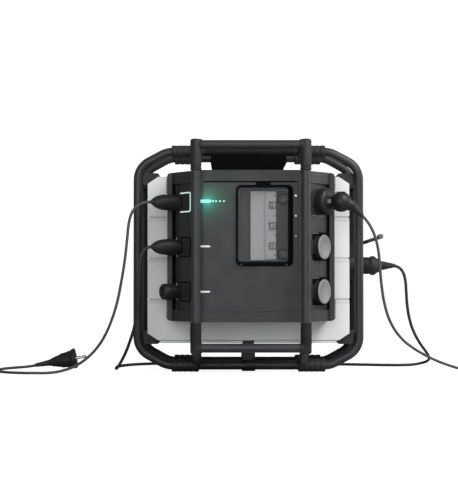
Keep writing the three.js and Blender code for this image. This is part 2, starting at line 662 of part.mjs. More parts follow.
const LINK_CORD = { diameter: 5.5, points: [
  [-171.1, -103.7, 221.8], [-176, -106.5, 220.5], [-182.5, -109.6, 215], [-187, -110.8, 205],
  [-189.5, -110, 182], [-191, -106, 150], [-194, -99, 113], [-200, -86, 82], [-208, -68, 59],
  [-217, -46, 38], [-227, -18, 20], [-235.5, 12, 8], [-240.5, 40, 3.2], [-243, 70, 2.9],
  [-242, 104, 2.9], [-233, 137, 2.9], [-214, 168, 2.9], [-184, 190, 2.9], [-140, 198, 2.9],
  [-70, 197, 2.9], [0, 191, 2.9], [70, 184, 2.9], [130, 177, 2.9], [186, 170, 2.9], [232, 157, 2.9],
  [272, 148, 2.9], [300, 152, 2.9], [319, 165, 3.2], [335, 169, 6], [343.5, 155, 11],
  [342.5, 132, 19], [333.5, 110, 31], [320, 91, 47.5], [307, 77.5, 69], [298.5, 69, 92],
  [293.5, 64, 118], [291.3, 61.3, 145], [289.5, 60.2, 165], [285, 60, 179.5], [277.5, 60, 187.8],
  [269.8, 60, 190.5],
] };

const OUTPUT_CORD = { diameter: 5, points: [
  [197.4, -111.6, 273.2], [201, -112.8, 268.8], [207, -114.6, 260], [213.5, -116, 247],
  [219.5, -116.5, 228], [223.5, -116, 203], [225.5, -115, 178], [228, -113, 153], [234, -109.5, 120],
  [245, -104, 90], [263, -97.5, 64.5], [283, -91, 48], [303, -84, 36], [323, -76.5, 26],
  [343, -69, 18], [364, -61.5, 11], [386, -55.5, 5.2], [406, -52.6, 2.9],
] };

const COIL = { centre: [428, -12.5], innerTurn: 20, outerTurn: 40, layers: 2 };
const COUPLER_AT = [COIL.centre[0] + COIL.outerTurn, 15];

function cordTube({ points, diameter }) {
  const curve = new THREE.CatmullRomCurve3(points.map((point) => new THREE.Vector3(...point)), false,
    'centripetal');
  const steps = Math.min(80, Math.ceil(curve.getLength() / (3 * diameter)));
  const shape = circleShape(diameter / 2, 8);
  return toSolid(new THREE.ExtrudeGeometry(shape, { extrudePath: curve, steps, bevelEnabled: false }));
}

function addCords() {
  addPiece('charge_cord', cordTube(CHARGE_CORD), materials.rubber);
  addPiece('link_cord', cordTube(LINK_CORD), materials.rubber);
  addPiece('output_cord', cordTube(OUTPUT_CORD), materials.rubber);
  const thick = OUTPUT_CORD.diameter;
  const [inner, outer] = [COIL.innerTurn - thick / 2, COIL.outerTurn + thick / 2];
  const top = COIL.layers * thick;
  const section = [[0.1, inner], [0.1, outer], [top, outer], [top, inner], [0.1, inner]];
  addPiece('output_coil', turned(section, [...COIL.centre, 0], [0, 0, 1], 28), materials.rubber);
}

/** A round-bodied connector: hollow nose in the inlet, swelling body, tapered strain relief. */
function connectorProfile() {
  return [[1.5, 0], [1.5, 5.6], [-12, 5.6], [-12, 12], [4.3, 12], [4.3, 12.6], [10, 13.6], [22, 14],
    [32, 13.8], [41, 12.8], [48, 10.8], [53, 8.4], [57, 5.4], [60.5, 3.3], [60.5, 0]];
}

function addConnectors() {
  ['charge_connector', 'link_connector'].forEach((name, port) => {
    const connector = turned(connectorProfile(), [0, 0, 0], [1, 0, 0], 16);
    addPiece(name, connector, materials.rubber, portGroup(leftFace, PORT_Z[port]));
  });
}

/** A round plug with a ball-shaped neck; its strain relief leads off down and to the right. */
function addOutputPlug() {
  const profile = [[-14, 0], [-14, 18.4], [7.3, 18.4], [7.3, 22.3], [20, 22.3], [23, 19.5], [25.5, 12],
    [31, 10.5], [36, 14.5], [42, 17.2], [48, 17.6], [54, 15.8], [59, 12], [63, 6], [64, 0]];
  const head = turned(profile, [0, 0, 0], [1, 0, 0], 20);
  const elbow = rod(12, [48, 0, 0], [67, 8, -8.5], { endRadius: 9.2 });
  const relief = rod(9.4, [65.5, 7.4, -7.6], [80.2, 15.2, -25.4], { endRadius: 3.2 });
  addPiece('output_plug', join(head, elbow, relief), materials.rubber, portGroup(rightFace, PORT_Z[0]));
}

function addSidePlug() {
  const { y, z } = SIDE_SOCKET;
  const profile = [[186, 0], [186, 18.5], [199, 18.5], [201.5, 15.5], [223, 15.5], [226, 17.6], [233, 17.6],
    [243, 11.4], [247, 8.6], [268, 3.6], [268, 0]];
  addPiece('side_plug', turned(profile, [0, y, z], [1, 0, 0], 16), materials.rubber);
}

/** A plug or coupler lying on the floor: its face stands on its rim and its tail comes down. */
function lyingBody(pins) {
  const body = turned([[0, 0], [0, 18.5], [6, 18.5], [9, 16], [28, 12.5], [44, 8], [50, 5.5], [78, 3.4],
    [78, 0]], [0, 0, 0], [1, 0, 0], 16);
  const prongs = [-9.5, 9.5].map((y) => rod(2.4, [-18, y, 0], [1, y, 0], { sides: 8 }));
  const sockets = [-9.5, 9.5].map((y) => rod(2.8, [-1, y, 0], [16, y, 0], { sides: 8 }));
  return pins ? join(body, ...prongs) : cut(body, ...sockets);
}

const LYING = { faceHeight: 19.5, slope: THREE.MathUtils.degToRad(10.1), length: 78 };

/** Places a lying body with its tail at a point of the floor plan, its face beyond it. */
function layDown(mesh, tail, heading) {
  const reach = LYING.length * Math.cos(LYING.slope);
  mesh.position.set(tail[0] + reach * Math.cos(heading), tail[1] + reach * Math.sin(heading),
    LYING.faceHeight);
  mesh.rotation.set(0, LYING.slope, heading + Math.PI, 'ZYX');
}

function addPlugs() {
  addOutputPlug();
  addSidePlug();
  layDown(addPiece('mains_plug', lyingBody(true), materials.rubber), [-396, 90], 0);
  layDown(addPiece('output_coupler', lyingBody(false), materials.rubber), COUPLER_AT, Math.PI / 2);
}

// ---- Assembly ----

addHoops();
addRearSleeves();
addGuard();
addMounts();
addBody();
addInside();
addPiece('module_housing', moduleHousing(), materials.housing);
addFaceplate();
addBreakers();
addWindow();
addInlets();
addSockets();
addSideSocket();
addConnectors();
addPlugs();
addCords();

station.position.set(-20.75, 5.35, 0);

export default station;
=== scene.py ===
"""Portable power station in a tubular roll cage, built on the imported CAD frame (Blender 4.5).

Dimensions are millimetres in the CAD source's working axes: +Z up from the floor, x and y from
the middle of the front hoop, the control module facing -Y. at() and TO_FRAME take them to the
row frame, in metres.
"""
import json
import math

import bmesh
import bpy
from mathutils import Matrix, Vector

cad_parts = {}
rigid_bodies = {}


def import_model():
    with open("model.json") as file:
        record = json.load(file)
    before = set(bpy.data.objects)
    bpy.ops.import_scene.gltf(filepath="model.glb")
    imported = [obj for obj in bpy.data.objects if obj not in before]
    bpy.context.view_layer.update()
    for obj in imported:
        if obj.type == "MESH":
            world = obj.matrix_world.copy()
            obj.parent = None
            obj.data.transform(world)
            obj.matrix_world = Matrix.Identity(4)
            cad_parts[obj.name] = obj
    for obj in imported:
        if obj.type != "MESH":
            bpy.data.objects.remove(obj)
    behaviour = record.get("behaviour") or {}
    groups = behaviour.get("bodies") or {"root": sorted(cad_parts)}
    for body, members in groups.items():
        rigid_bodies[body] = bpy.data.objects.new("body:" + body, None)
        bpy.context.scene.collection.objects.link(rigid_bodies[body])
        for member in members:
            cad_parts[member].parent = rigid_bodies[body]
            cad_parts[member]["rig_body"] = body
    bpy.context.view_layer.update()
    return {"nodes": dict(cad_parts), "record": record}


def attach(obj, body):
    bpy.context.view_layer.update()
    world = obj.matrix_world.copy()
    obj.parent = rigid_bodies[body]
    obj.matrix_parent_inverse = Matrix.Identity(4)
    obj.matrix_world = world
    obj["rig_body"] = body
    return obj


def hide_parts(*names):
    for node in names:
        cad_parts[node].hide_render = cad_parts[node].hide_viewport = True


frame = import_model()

# ---- Dimensions shared with the CAD ----

CAD_SHIFT = (-20.75, 5.35, 0.0)
TO_FRAME = Matrix.Scale(0.001, 4) @ Matrix.Translation(CAD_SHIFT)
SIDES = (("left", -1), ("right", 1))
LEVELS = ("bottom", "top")

HOOP_RADIUS = 8
HOOP_Y = {"front": 0, "rear": 137}
HOOP_HALF_WIDTH = {"front": 199, "rear": 197}
HOOP_SHOULDER = 146.5
HOOP_Z = (11.6, 395.4)
HOOP_CORNER_RISE = 27.9
SHOULDER_BEND = 45
POST_BEND = 37

SLEEVE = (89, 138)
SLEEVE_RIBS = 5
SLEEVE_RADIUS = 12
SLEEVE_GROOVE = 11.2
SLEEVE_END = 10.6
SLEEVE_BORE = 8.2
STACK_HEIGHT = 407

GUARD_X = {"left": -91.3, "right": 95.7}
GUARD_Y = -150
GUARD_UPRIGHT = (60, 385.7)
LOWER_BAR_Z = 49.5
ELBOW_Z = ((39.4, 92.8), (351.5, 404.8))
ELBOW_RADIUS = 9.5
STUB_RADIUS = 9.2
ARM_RADII = (8.6, 8.0)
LOWER_ARM_LIFT = 5.5

BODY_Y = (-8.8, 136.8)
SEAM_Z = (277, 203.5, 130)
RAIL_OUTSIDE = 203
REAR_COVER_Y = 142.3
SADDLE_TOP = 391

FLANGE_Y = -56.2
PANEL_Y = -128
PORT_Z = (300, 222.3, 144.6)
LEFT_FACE = ((-118.01, -72.885), (-0.8647, -0.5023))
RIGHT_FACE = ((120.98, -78.871), (0.8302, -0.5574))
PLATE_FACE = 2.2

WINDOW_OUTER = ((-22.5, 71), (189.7, 327.3))
WINDOW_INNER = ((-19.8, 66.6), (196, 323.9))
WINDOW_Y = (-133, -128.8)
WINDOW_HINGE = (-131.2, 191.3)

STRIP_Z = (199.3, 317.7)
STRIP_MODULES = 7
STRIP_FACE = -121.4
BUTTON_X = 58.4
BUTTON_Z = (303.8, 209.0)

# ---- Camera ----

CAMERA_AT = (-35, -2600, 170)
CAMERA_PITCH = math.radians(1.31)
SENSOR = 36
LENS = 106.5246


def at(x, y, z):
    """A point of the working axes, in the row frame."""
    return TO_FRAME @ Vector((x, y, z))


def add_object(name, data):
    obj = bpy.data.objects.new(name, data)
    bpy.context.scene.collection.objects.link(obj)
    return obj


def add_camera():
    """A long lens straight in front, tipped up a little."""
    data = bpy.data.cameras.new("camera")
    data.sensor_width = SENSOR
    data.lens = LENS
    data.clip_end = 50
    camera = add_object("camera", data)
    camera.location = at(*CAMERA_AT)
    camera.rotation_euler = (math.pi / 2 + CAMERA_PITCH, 0, 0)
    bpy.context.scene.camera = camera


add_camera()

# ---- Materials ----

MOTTLE_SCALE = 38
PATCH_SCALE = 9
GLOSS_SWING = 0.07
GRAIN_HEIGHT = 0.0004

# Lengths in metres, in the row frame.
GLOW_AT = at(-73, PANEL_Y - 4, PORT_Z[0])
GLOW_COLOUR = (0.05, 1.0, 0.62, 1)
GLOW_CLOSE = 0.008
GLOW_WIDE = 0.02

# Painted shade where a tube is hemmed in between other parts: its soft edge, colour and extra roughness.
SHADE_EDGE = 0.006
SHADE_COLOUR = (0.002, 0.002, 0.002, 1)
SHADE_ROUGHNESS = 0.45

# Painted shade in a band under each seam of the tiers.
BAND_BELOW_SEAM = 0.0013
BAND_HEIGHT = 0.0065
SEAM_SHADE_COLOUR = (0.38, 0.38, 0.385, 1)

TUBE_FINISH = {"mottle": 0.16, "grain": 1500, "depth": 0.10}
MARK_FINISH = {"mottle": 0.04, "depth": 0.03}
# Colour, roughness and finish of each moulded, painted or metal surface.
SURFACES = {
    "cage_tube": ((0.022, 0.022, 0.024), 0.42, TUBE_FINISH),
    "front_tube": ((0.022, 0.022, 0.024), 0.42, TUBE_FINISH),
    # The rear tube is the cage tube made darker and rougher: painted shade for the hoop behind the front
    # one.
    "rear_tube": ((0.014, 0.014, 0.015), 0.5, TUBE_FINISH),
    "guard_tube": ((0.028, 0.028, 0.030), 0.45, TUBE_FINISH),
    "guard_foot": ((0.014, 0.014, 0.015), 0.5, {"mottle": 0.2, "grain": 1500}),
    "moulded_black": ((0.014, 0.014, 0.0145), 0.62, {"grain": 1100, "depth": 0.25}),
    "housing_dark": ((0.022, 0.022, 0.023), 0.5, {"grain": 1100, "depth": 0.2}),
    "faceplate_dark": ((0.021, 0.021, 0.023), 0.48, {"mottle": 0.06, "grain": 1300}),
    "shell_grey": ((0.68, 0.685, 0.69), 0.45, {"mottle": 0.035, "grain": 1400, "depth": 0.06}),
    "cover_grey": ((0.64, 0.645, 0.65), 0.45, {"mottle": 0.03, "grain": 1400, "depth": 0.06}),
    "breaker_grey": ((0.52, 0.52, 0.522), 0.5, {"mottle": 0.04, "depth": 0.05}),
    "lid_grey": ((0.19, 0.19, 0.195), 0.45, {"mottle": 0.06, "grain": 1100}),
    "lid_side": ((0.13, 0.13, 0.135), 0.4, {"mottle": 0.1, "depth": 0.1}),
    "rubber_black": ((0.009, 0.009, 0.0095), 0.5, {"mottle": 0.2, "grain": 1600}),
    "cord_grey": ((0.055, 0.053, 0.049), 0.55, {"grain": 1600, "depth": 0.1}),
    "cord_dark": ((0.018, 0.018, 0.017), 0.55, {"grain": 1600, "depth": 0.1}),
    "pin_steel": ((0.55, 0.55, 0.56), 0.28, {"mottle": 0.08, "depth": 0.04, "metallic": 1.0}),
    "battery_blue": ((0.08, 0.16, 0.28), 0.5, {"mottle": 0.1, "depth": 0.1}),
    "board_metal": ((0.5, 0.51, 0.52), 0.35, {"mottle": 0.1, "depth": 0.05, "metallic": 1.0}),
    "button_grey": ((0.05, 0.05, 0.052), 0.42, {"mottle": 0.1, "depth": 0.1}),
    "deep_black": ((0.0025, 0.0025, 0.0025), 0.9, {"mottle": 0.2, "depth": 0.1, "shine": 0.06}),
    "mark_white": ((0.75, 0.75, 0.75), 0.5, MARK_FINISH),
    "mark_faint": ((0.38, 0.38, 0.385), 0.5, MARK_FINISH),
    "mark_dim": ((0.16, 0.16, 0.16), 0.5, MARK_FINISH),
}
# Colour and strength of each light guide.
GUIDES = {
    "light_teal": ((0.25, 1.0, 0.74), 1.25),
    "light_white": ((0.72, 0.95, 0.86), 0.85),
    "led_bright": ((0.9, 0.9, 0.9), 0.85),
    "led_mid": ((0.9, 0.9, 0.9), 0.45),
    "led_dim": ((0.9, 0.9, 0.9), 0.13),
}


class Shader:
    """A new material with a Principled shader, and short ways to add nodes to it."""

    def __init__(self, name):
        self.material = bpy.data.materials.new(name)
        self.material.use_nodes = True
        self.tree = self.material.node_tree
        self.shader = self.tree.nodes["Principled BSDF"]
        self.place = self.node("ShaderNodeTexCoord").outputs["Object"]

    def node(self, kind, **settings):
        made = self.tree.nodes.new(kind)
        for key, value in settings.items():
            setattr(made, key, value)
        return made

    def feed(self, socket, value):
        """Links another node's output to a socket, or sets the socket to a plain value."""
        if isinstance(value, bpy.types.NodeSocket):
            self.tree.links.new(value, socket)
        else:
            socket.default_value = value

    def put(self, node, **values):
        """Feeds a node's inputs, each given by name, or by number as i0, i1 and so on."""
        for key, value in values.items():
            numbered = key[0] == "i" and key[1:].isdigit()
            self.feed(node.inputs[int(key[1:]) if numbered else key], value)

    def wire(self, name, value):
        """Feeds one input of the Principled shader."""
        self.feed(self.shader.inputs[name], value)

    def source(self, name):
        """The output that feeds one input of the Principled shader so far."""
        return self.shader.inputs[name].links[0].from_socket

    def axes(self):
        """The x, y and z outputs of the place on the surface."""
        split = self.node("ShaderNodeSeparateXYZ")
        self.put(split, Vector=self.place)
        return split.outputs

    def noise(self, scale, detail=2.0, stretch=None):
        where = self.place
        if stretch:
            mapping = self.node("ShaderNodeMapping")
            self.put(mapping, Scale=stretch, Vector=self.place)
            where = mapping.outputs["Vector"]
        made = self.node("ShaderNodeTexNoise")
        self.put(made, Vector=where, Scale=scale, Detail=detail)
        return made.outputs["Fac"]

    def span(self, value, low, high, start=0.3, end=0.7):
        """Spreads the part of a value between start and end over low to high."""
        made = self.node("ShaderNodeMapRange")
        self.put(made, i0=value, i1=start, i2=end, i3=low, i4=high)
        return made.outputs["Result"]

    def math(self, operation, a, b=0.0):
        made = self.node("ShaderNodeMath", operation=operation)
        self.put(made, i0=a, i1=b)
        return made.outputs[0]

    def plus(self, a, b):
        return self.math("ADD", a, b)

    def times(self, a, b):
        return self.math("MULTIPLY", a, b)

    def mix(self, share, a, b):
        made = self.node("ShaderNodeMix", data_type="RGBA")
        self.put(made, i0=share, i6=a, i7=b)
        return made.outputs[2]

    def bump(self, height, strength, distance):
        made = self.node("ShaderNodeBump")
        self.put(made, Height=height, Strength=strength, Distance=distance)
        return made.outputs["Normal"]


def tint(colour, factor):
    """The colour made darker or lighter, with its alpha."""
    return (*[min(1.0, c * factor) for c in colour], 1)


def plastic(name, colour, roughness, mottle=0.12, grain=900, depth=0.12, metallic=0.0, shine=0.35):
    """Moulded or painted surface: soft mottling, uneven gloss and a fine grain."""
    shader = Shader(name)
    broad = shader.noise(MOTTLE_SCALE, 3)
    patches = shader.noise(PATCH_SCALE, 2)
    even = shader.times(shader.plus(broad, patches), 0.5)
    shader.wire("Base Color", shader.mix(shader.span(even, 0, 1), tint(colour, 1 - mottle),
                                         tint(colour, 1 + mottle)))
    shader.wire("Roughness", shader.span(broad, roughness - GLOSS_SWING, roughness + GLOSS_SWING))
    shader.wire("Metallic", metallic)
    shader.wire("Specular IOR Level", shine)
    shader.wire("Normal", shader.bump(shader.noise(grain, 2), depth, GRAIN_HEIGHT))
    return shader


def light_by_bar(shader, near=0.55, far=0.1):
    """Adds the teal light that the charge bar throws on what is round it."""
    gap = shader.node("ShaderNodeVectorMath", operation="DISTANCE")
    shader.put(gap, i0=shader.place, i1=GLOW_AT)
    away = gap.outputs["Value"]
    close = shader.math("EXPONENT", shader.times(away, -1 / GLOW_CLOSE))
    wide = shader.math("EXPONENT", shader.times(away, -1 / GLOW_WIDE))
    level = shader.plus(shader.times(close, near), shader.times(wide, far))
    shader.wire("Emission Color", shader.mix(level, (0, 0, 0, 1), GLOW_COLOUR))
    shader.wire("Emission Strength", 1.0)


def paint_hemmed_shade(shader, x_range, z_range, share):
    """Paints shade on a surface where it is hemmed in, between two x and two z of the row frame: a darker
    colour and more roughness.
    """
    x, _, z = shader.axes()
    inside = 1.0
    for value, (low, high) in ((x, x_range), (z, z_range)):
        rise = shader.span(value, 0, 1, low - SHADE_EDGE, low + SHADE_EDGE)
        fall = shader.span(value, 1, 0, high - SHADE_EDGE, high + SHADE_EDGE)
        inside = shader.times(shader.times(rise, fall), inside)
    painted_shade = shader.times(inside, share)
    shader.wire("Base Color", shader.mix(painted_shade, shader.source("Base Color"), SHADE_COLOUR))
    rougher = shader.times(painted_shade, SHADE_ROUGHNESS)
    shader.wire("Roughness", shader.plus(shader.source("Roughness"), rougher))


def glowing(name, colour, strength):
    """A light guide with a slightly uneven glow."""
    shader = Shader(name)
    shader.wire("Base Color", tint(colour, 0.1))
    shader.wire("Roughness", 0.35)
    shader.wire("Emission Color", shader.mix(shader.noise(260, 1), tint(colour, 0.85), tint(colour, 1.0)))
    shader.wire("Emission Strength", strength)
    return shader


def shade_under_seams(shader, share=0.28):
    """Paints shade in a band under each seam, making the painted tiers a little darker there."""
    height = shader.axes()[2]
    bands = 0.0
    for seam in SEAM_Z:
        below = shader.math("SUBTRACT", seam / 1000 - BAND_BELOW_SEAM, height)
        band = shader.times(shader.math("GREATER_THAN", below, 0.0),
                            shader.math("LESS_THAN", below, BAND_HEIGHT))
        bands = shader.plus(bands, band)
    shade = shader.times(bands, share)
    shader.wire("Base Color", shader.mix(shade, shader.source("Base Color"), SEAM_SHADE_COLOUR))


def clear_shader():
    """Clear polycarbonate: lets light straight through and mirrors a little at a slant."""
    shader = Shader("window_clear")
    clear = shader.node("ShaderNodeBsdfTransparent")
    shader.put(clear, Color=(0.90, 0.905, 0.91, 1))
    facing = shader.node("ShaderNodeLayerWeight")
    shader.put(facing, Blend=0.25)
    scratches = shader.noise(60, 4, stretch=(1, 1, 8))
    shader.wire("Base Color", (0.25, 0.26, 0.27, 1))
    shader.wire("Roughness", shader.span(scratches, 0.06, 0.16))
    blend = shader.node("ShaderNodeMixShader")
    share = shader.span(facing.outputs["Fresnel"], 0.05, 0.4, 0, 1)
    shader.put(blend, i0=share, i1=clear.outputs[0], i2=shader.shader.outputs[0])
    shader.put(shader.tree.nodes["Material Output"], Surface=blend.outputs[0])
    return shader


def make_materials():
    made = {name: plastic(name, colour, roughness, **finish)
            for name, (colour, roughness, finish) in SURFACES.items()}
    light_by_bar(made["guard_tube"], near=0.3, far=0.05)
    light_by_bar(made["housing_dark"], near=0.2, far=0.04)
    light_by_bar(made["faceplate_dark"])
    # Painted shade on the front hoop under the handle, on the rear hoop's posts between the body and the
    # front hoop, and on the guard's lower connectors.
    paint_hemmed_shade(made["front_tube"], (-0.102, 0.066), (0.36, 0.5), 0.9)
    paint_hemmed_shade(made["rear_tube"], (0.15, 0.2), (0.05, 0.35), 0.85)
    paint_hemmed_shade(made["guard_foot"], (-0.2, 0.2), (0.05, 0.3), 0.6)
    shade_under_seams(made["shell_grey"])
    for name, (colour, strength) in GUIDES.items():
        made[name] = glowing(name, colour, strength)
    made["window_clear"] = clear_shader()
    return {name: shader.material for name, shader in made.items()}


MATERIALS = make_materials()
SLOT_OF = {part["node"]: part["material_slot"] for part in frame["record"]["subparts"]}

# ---- Mesh building ----

SHARP_ANGLE = math.radians(38)
FLAT_ANGLE = math.radians(0.5)
WELD = 1e-6


def add_ring(bm, centre, across, up, radius, sides):
    """A circle of vertices."""
    turns = [2 * math.pi * k / sides for k in range(sides)]
    return [bm.verts.new(centre + radius * (math.cos(t) * across + math.sin(t) * up)) for t in turns]


def skin(bm, a, b):
    """Faces between two rings, or between a ring and a single point."""
    count = max(len(a), len(b))
    for k in range(count):
        n = (k + 1) % count
        if len(a) == 1:
            bm.faces.new((a[0], b[n], b[k]))
        elif len(b) == 1:
            bm.faces.new((a[k], a[n], b[0]))
        else:
            bm.faces.new((a[k], a[n], b[n], b[k]))


def lathe(bm, profile, start=(0, 0, 0), axis=(0, 0, 1), sides=48):
    """A turned body from (distance along the axis, radius) pairs: axis to axis, or a closed ring."""
    along = Vector(axis).normalized()
    across = along.orthogonal().normalized()
    up = along.cross(across)
    rings = []
    for distance, radius in profile:
        centre = Vector(start) + distance * along
        rings.append([bm.verts.new(centre)] if radius == 0
                     else add_ring(bm, centre, across, up, radius, sides))
    for a, b in zip(rings, rings[1:]):
        skin(bm, a, b)
    if len(rings[0]) > 1:
        skin(bm, rings[-1], rings[0])


def rod(bm, radius, start, end, chamfer=0.6, end_radius=None, sides=40):
    """A round bar between two points, chamfered at both ends."""
    span = Vector(end) - Vector(start)
    far = end_radius or radius
    length = span.length
    lathe(bm, [(0, 0), (0, radius - chamfer), (chamfer, radius), (length - chamfer, far),
               (length, far - chamfer), (length, 0)], start, span, sides)


def closed_tube(bm, points, radius, sides=28):
    """A tube round a closed line in a plane of constant y."""
    rings = []
    count = len(points)
    back = Vector((0, 1, 0))
    for k, point in enumerate(points):
        along = (points[(k + 1) % count] - points[k - 1]).normalized()
        rings.append(add_ring(bm, point, along.cross(back), back, radius, sides))
    for k in range(count):
        skin(bm, rings[k], rings[(k + 1) % count])


def rounded(x_range, z_range, radius, steps=8):
    """Outline of a rectangle with round corners, as (x, z) pairs."""
    (x0, x1), (z0, z1) = x_range, z_range
    corners = [(x1 - radius, z1 - radius), (x0 + radius, z1 - radius), (x0 + radius, z0 + radius),
               (x1 - radius, z0 + radius)]
    outline = []
    for quarter, (x, z) in enumerate(corners):
        for step in range(steps + 1):
            angle = (quarter + step / steps) * math.pi / 2
            outline.append((x + radius * math.cos(angle), z + radius * math.sin(angle)))
    return outline


def prism(bm, outline, y_range, hole=None):
    """A plate between two depths, from a front outline, with an optional hole of as many points."""
    def ring(pairs, y):
        return [bm.verts.new((x, y, z)) for x, z in pairs]
    front, back = (ring(outline, y) for y in y_range)
    skin(bm, front, back)
    if hole is None:
        bm.faces.new(front)
        bm.faces.new(back[::-1])
        return
    hole_front, hole_back = (ring(hole, y) for y in y_range)
    skin(bm, hole_back, hole_front)
    skin(bm, front, hole_front)
    skin(bm, hole_back, back)


def box(bm, x_range, y_range, z_range):
    (x0, x1), (z0, z1) = x_range, z_range
    prism(bm, [(x0, z0), (x1, z0), (x1, z1), (x0, z1)], y_range)


def face_matrix(face, z):
    """Axes of a port: local +X looks out of the slanted face, +Z is up."""
    (x, y), (nx, ny) = face
    return Matrix.Translation((x, y, z)) @ Matrix.Rotation(math.atan2(ny, nx), 4, "Z")


def round_edges(obj, width):
    """Bevels the sharp edges, and keeps the flat faces flat."""
    bevel = obj.modifiers.new("bevel", "BEVEL")
    bevel.width = width / 1000
    bevel.segments = 2
    bevel.limit_method = "ANGLE"
    bevel.angle_limit = SHARP_ANGLE
    bevel.miter_outer = "MITER_ARC"
    obj.modifiers.new("normals", "WEIGHTED_NORMAL")


def make_piece(name, bm, material, body="station", matrix=None, stands_for=(), bevel=0, in_frame=False):
    """Turns a bmesh into a piece of the object that rides on a CAD body."""
    if matrix is not None:
        bm.transform(matrix)
    if not in_frame:
        bm.transform(TO_FRAME)
    bmesh.ops.recalc_face_normals(bm, faces=bm.faces)
    for face in bm.faces:
        face.smooth = True
    mesh = bpy.data.meshes.new(name)
    bm.to_mesh(mesh)
    bm.free()
    mesh.materials.append(MATERIALS[material])
    obj = add_object(name, mesh)
    if bevel:
        round_edges(obj, bevel)
    else:
        mesh.set_sharp_from_angle(angle=SHARP_ANGLE)
    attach(obj, body)
    if stands_for:
        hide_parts(*stands_for)
    return obj


def refine(node, bevel):
    """The CAD node's own shape, with its facets merged and its edges rounded."""
    source = frame["nodes"][node]
    bm = bmesh.new()
    bm.from_mesh(source.data)
    bmesh.ops.remove_doubles(bm, verts=bm.verts, dist=WELD)
    bmesh.ops.dissolve_limit(bm, angle_limit=FLAT_ANGLE, verts=bm.verts, edges=bm.edges)
    bmesh.ops.triangulate(bm, faces=bm.faces)
    material = MATERIAL_OF.get(node, SLOT_OF[node])
    return make_piece(f"{node}_body", bm, material, source["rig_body"], None, (node,), bevel, in_frame=True)


# ---- Roll cage ----


def bend(before, corner, after, radius, steps):
    """Points round one bend of a tube."""
    arriving = (corner - before).normalized()
    leaving = (after - corner).normalized()
    angle = arriving.angle(leaving)
    start = corner - arriving * radius * math.tan(angle / 2)
    inward = (leaving - arriving * math.cos(angle)).normalized()
    turns = [angle * k / steps for k in range(steps + 1)]
    return [start + arriving * radius * math.sin(t) + inward * radius * (1 - math.cos(t)) for t in turns]


def hoop_line(end):
    """The closed centreline of a hoop."""
    y = HOOP_Y[end]
    post = HOOP_HALF_WIDTH[end]
    bottom, top = HOOP_Z
    right = [(HOOP_SHOULDER, bottom, SHOULDER_BEND), (post, bottom + HOOP_CORNER_RISE, POST_BEND),
             (post, top - HOOP_CORNER_RISE, POST_BEND), (HOOP_SHOULDER, top, SHOULDER_BEND)]
    corners = right + [(-x, z, radius) for x, z, radius in reversed(right)]
    points = []
    for k, (x, z, radius) in enumerate(corners):
        before, after = corners[k - 1], corners[(k + 1) % len(corners)]
        points += bend(Vector((before[0], y, before[1])), Vector((x, y, z)), Vector((after[0], y, after[1])),
                       radius, 10)
    return points


def sleeve_profile():
    """Thick ribs with narrow grooves between them, tapered at both ends."""
    start, end = SLEEVE
    profile = [(start, SLEEVE_BORE), (start, SLEEVE_END)]
    pitch = (end - start) / SLEEVE_RIBS
    for k in range(SLEEVE_RIBS):
        low = start + k * pitch
        high = low + pitch
        profile += [(low + 0.6, SLEEVE_GROOVE), (low + 1.6, SLEEVE_RADIUS), (high - 1.6, SLEEVE_RADIUS),
                    (high - 0.6, SLEEVE_GROOVE)]
    return profile + [(end, SLEEVE_END), (end, SLEEVE_BORE)]


def add_sleeve(bm, side, y, level):
    """A ribbed sleeve round a hoop, flattened at the floor and at the object's full height."""
    before = set(bm.verts)
    lathe(bm, sleeve_profile(), (0, y, HOOP_Z[level]), (side, 0, 0), 56)
    for vertex in set(bm.verts) - before:
        vertex.co.z = min(max(vertex.co.z, 0), STACK_HEIGHT)


def add_hoops():
    for end in HOOP_Y:
        bm = bmesh.new()
        closed_tube(bm, hoop_line(end), HOOP_RADIUS)
        make_piece(f"{end}_hoop", bm, f"{end}_tube", stands_for=(f"{end}_hoop_left", f"{end}_hoop_right"))


def add_rear_sleeves():
    for level, height in enumerate(LEVELS):
        for name, side in SIDES:
            bm = bmesh.new()
            add_sleeve(bm, side, HOOP_Y["rear"], level)
            make_piece(f"foot_sleeve_{height}_{name}", bm, "moulded_black",
                       stands_for=(f"rear_sleeve_{height}_{name}",))


def elbow_profile(low, high, radius, collar_at_top):
    """A turned elbow body with a rounded outer end and a ring at the end the upright leaves."""
    end = [(low, 0), (low, radius - 3), (low + 0.9, radius - 1.2), (low + 3, radius)]
    ring = [(high - 7, radius), (high - 6.2, radius - 0.7), (high - 5.2, radius - 0.7), (high - 4.4, radius),
            (high - 0.8, radius), (high, radius - 0.8), (high, 0)]
    if collar_at_top:
        return end + ring
    return [(low + high - z, r) for z, r in reversed(end + ring)]


def add_guard_connector(name, side, level):
    """Elbow on the guard's corner, arm back to the front hoop, ribbed sleeve on the hoop."""
    place = f"{LEVELS[level]}_{name}"
    x = GUARD_X[name]
    corner = (x, GUARD_Y, (LOWER_BAR_Z, HOOP_Z[1])[level])
    arm_end = (x, HOOP_Y["front"], HOOP_Z[level] + (LOWER_ARM_LIFT, 0)[level])
    bm = bmesh.new()
    lathe(bm, elbow_profile(*ELBOW_Z[level], ELBOW_RADIUS, level == 0), (x, GUARD_Y, 0), (0, 0, 1), 44)
    rod(bm, STUB_RADIUS, corner, (x - side * 10.5, GUARD_Y, corner[2]), 0.8)
    rod(bm, ARM_RADII[0], corner, arm_end, 0.5, end_radius=ARM_RADII[1])
    add_sleeve(bm, side, HOOP_Y["front"], level)
    make_piece(f"guard_corner_{place}", bm, ("guard_foot", "moulded_black")[level],
               stands_for=(f"guard_connector_{place}",))


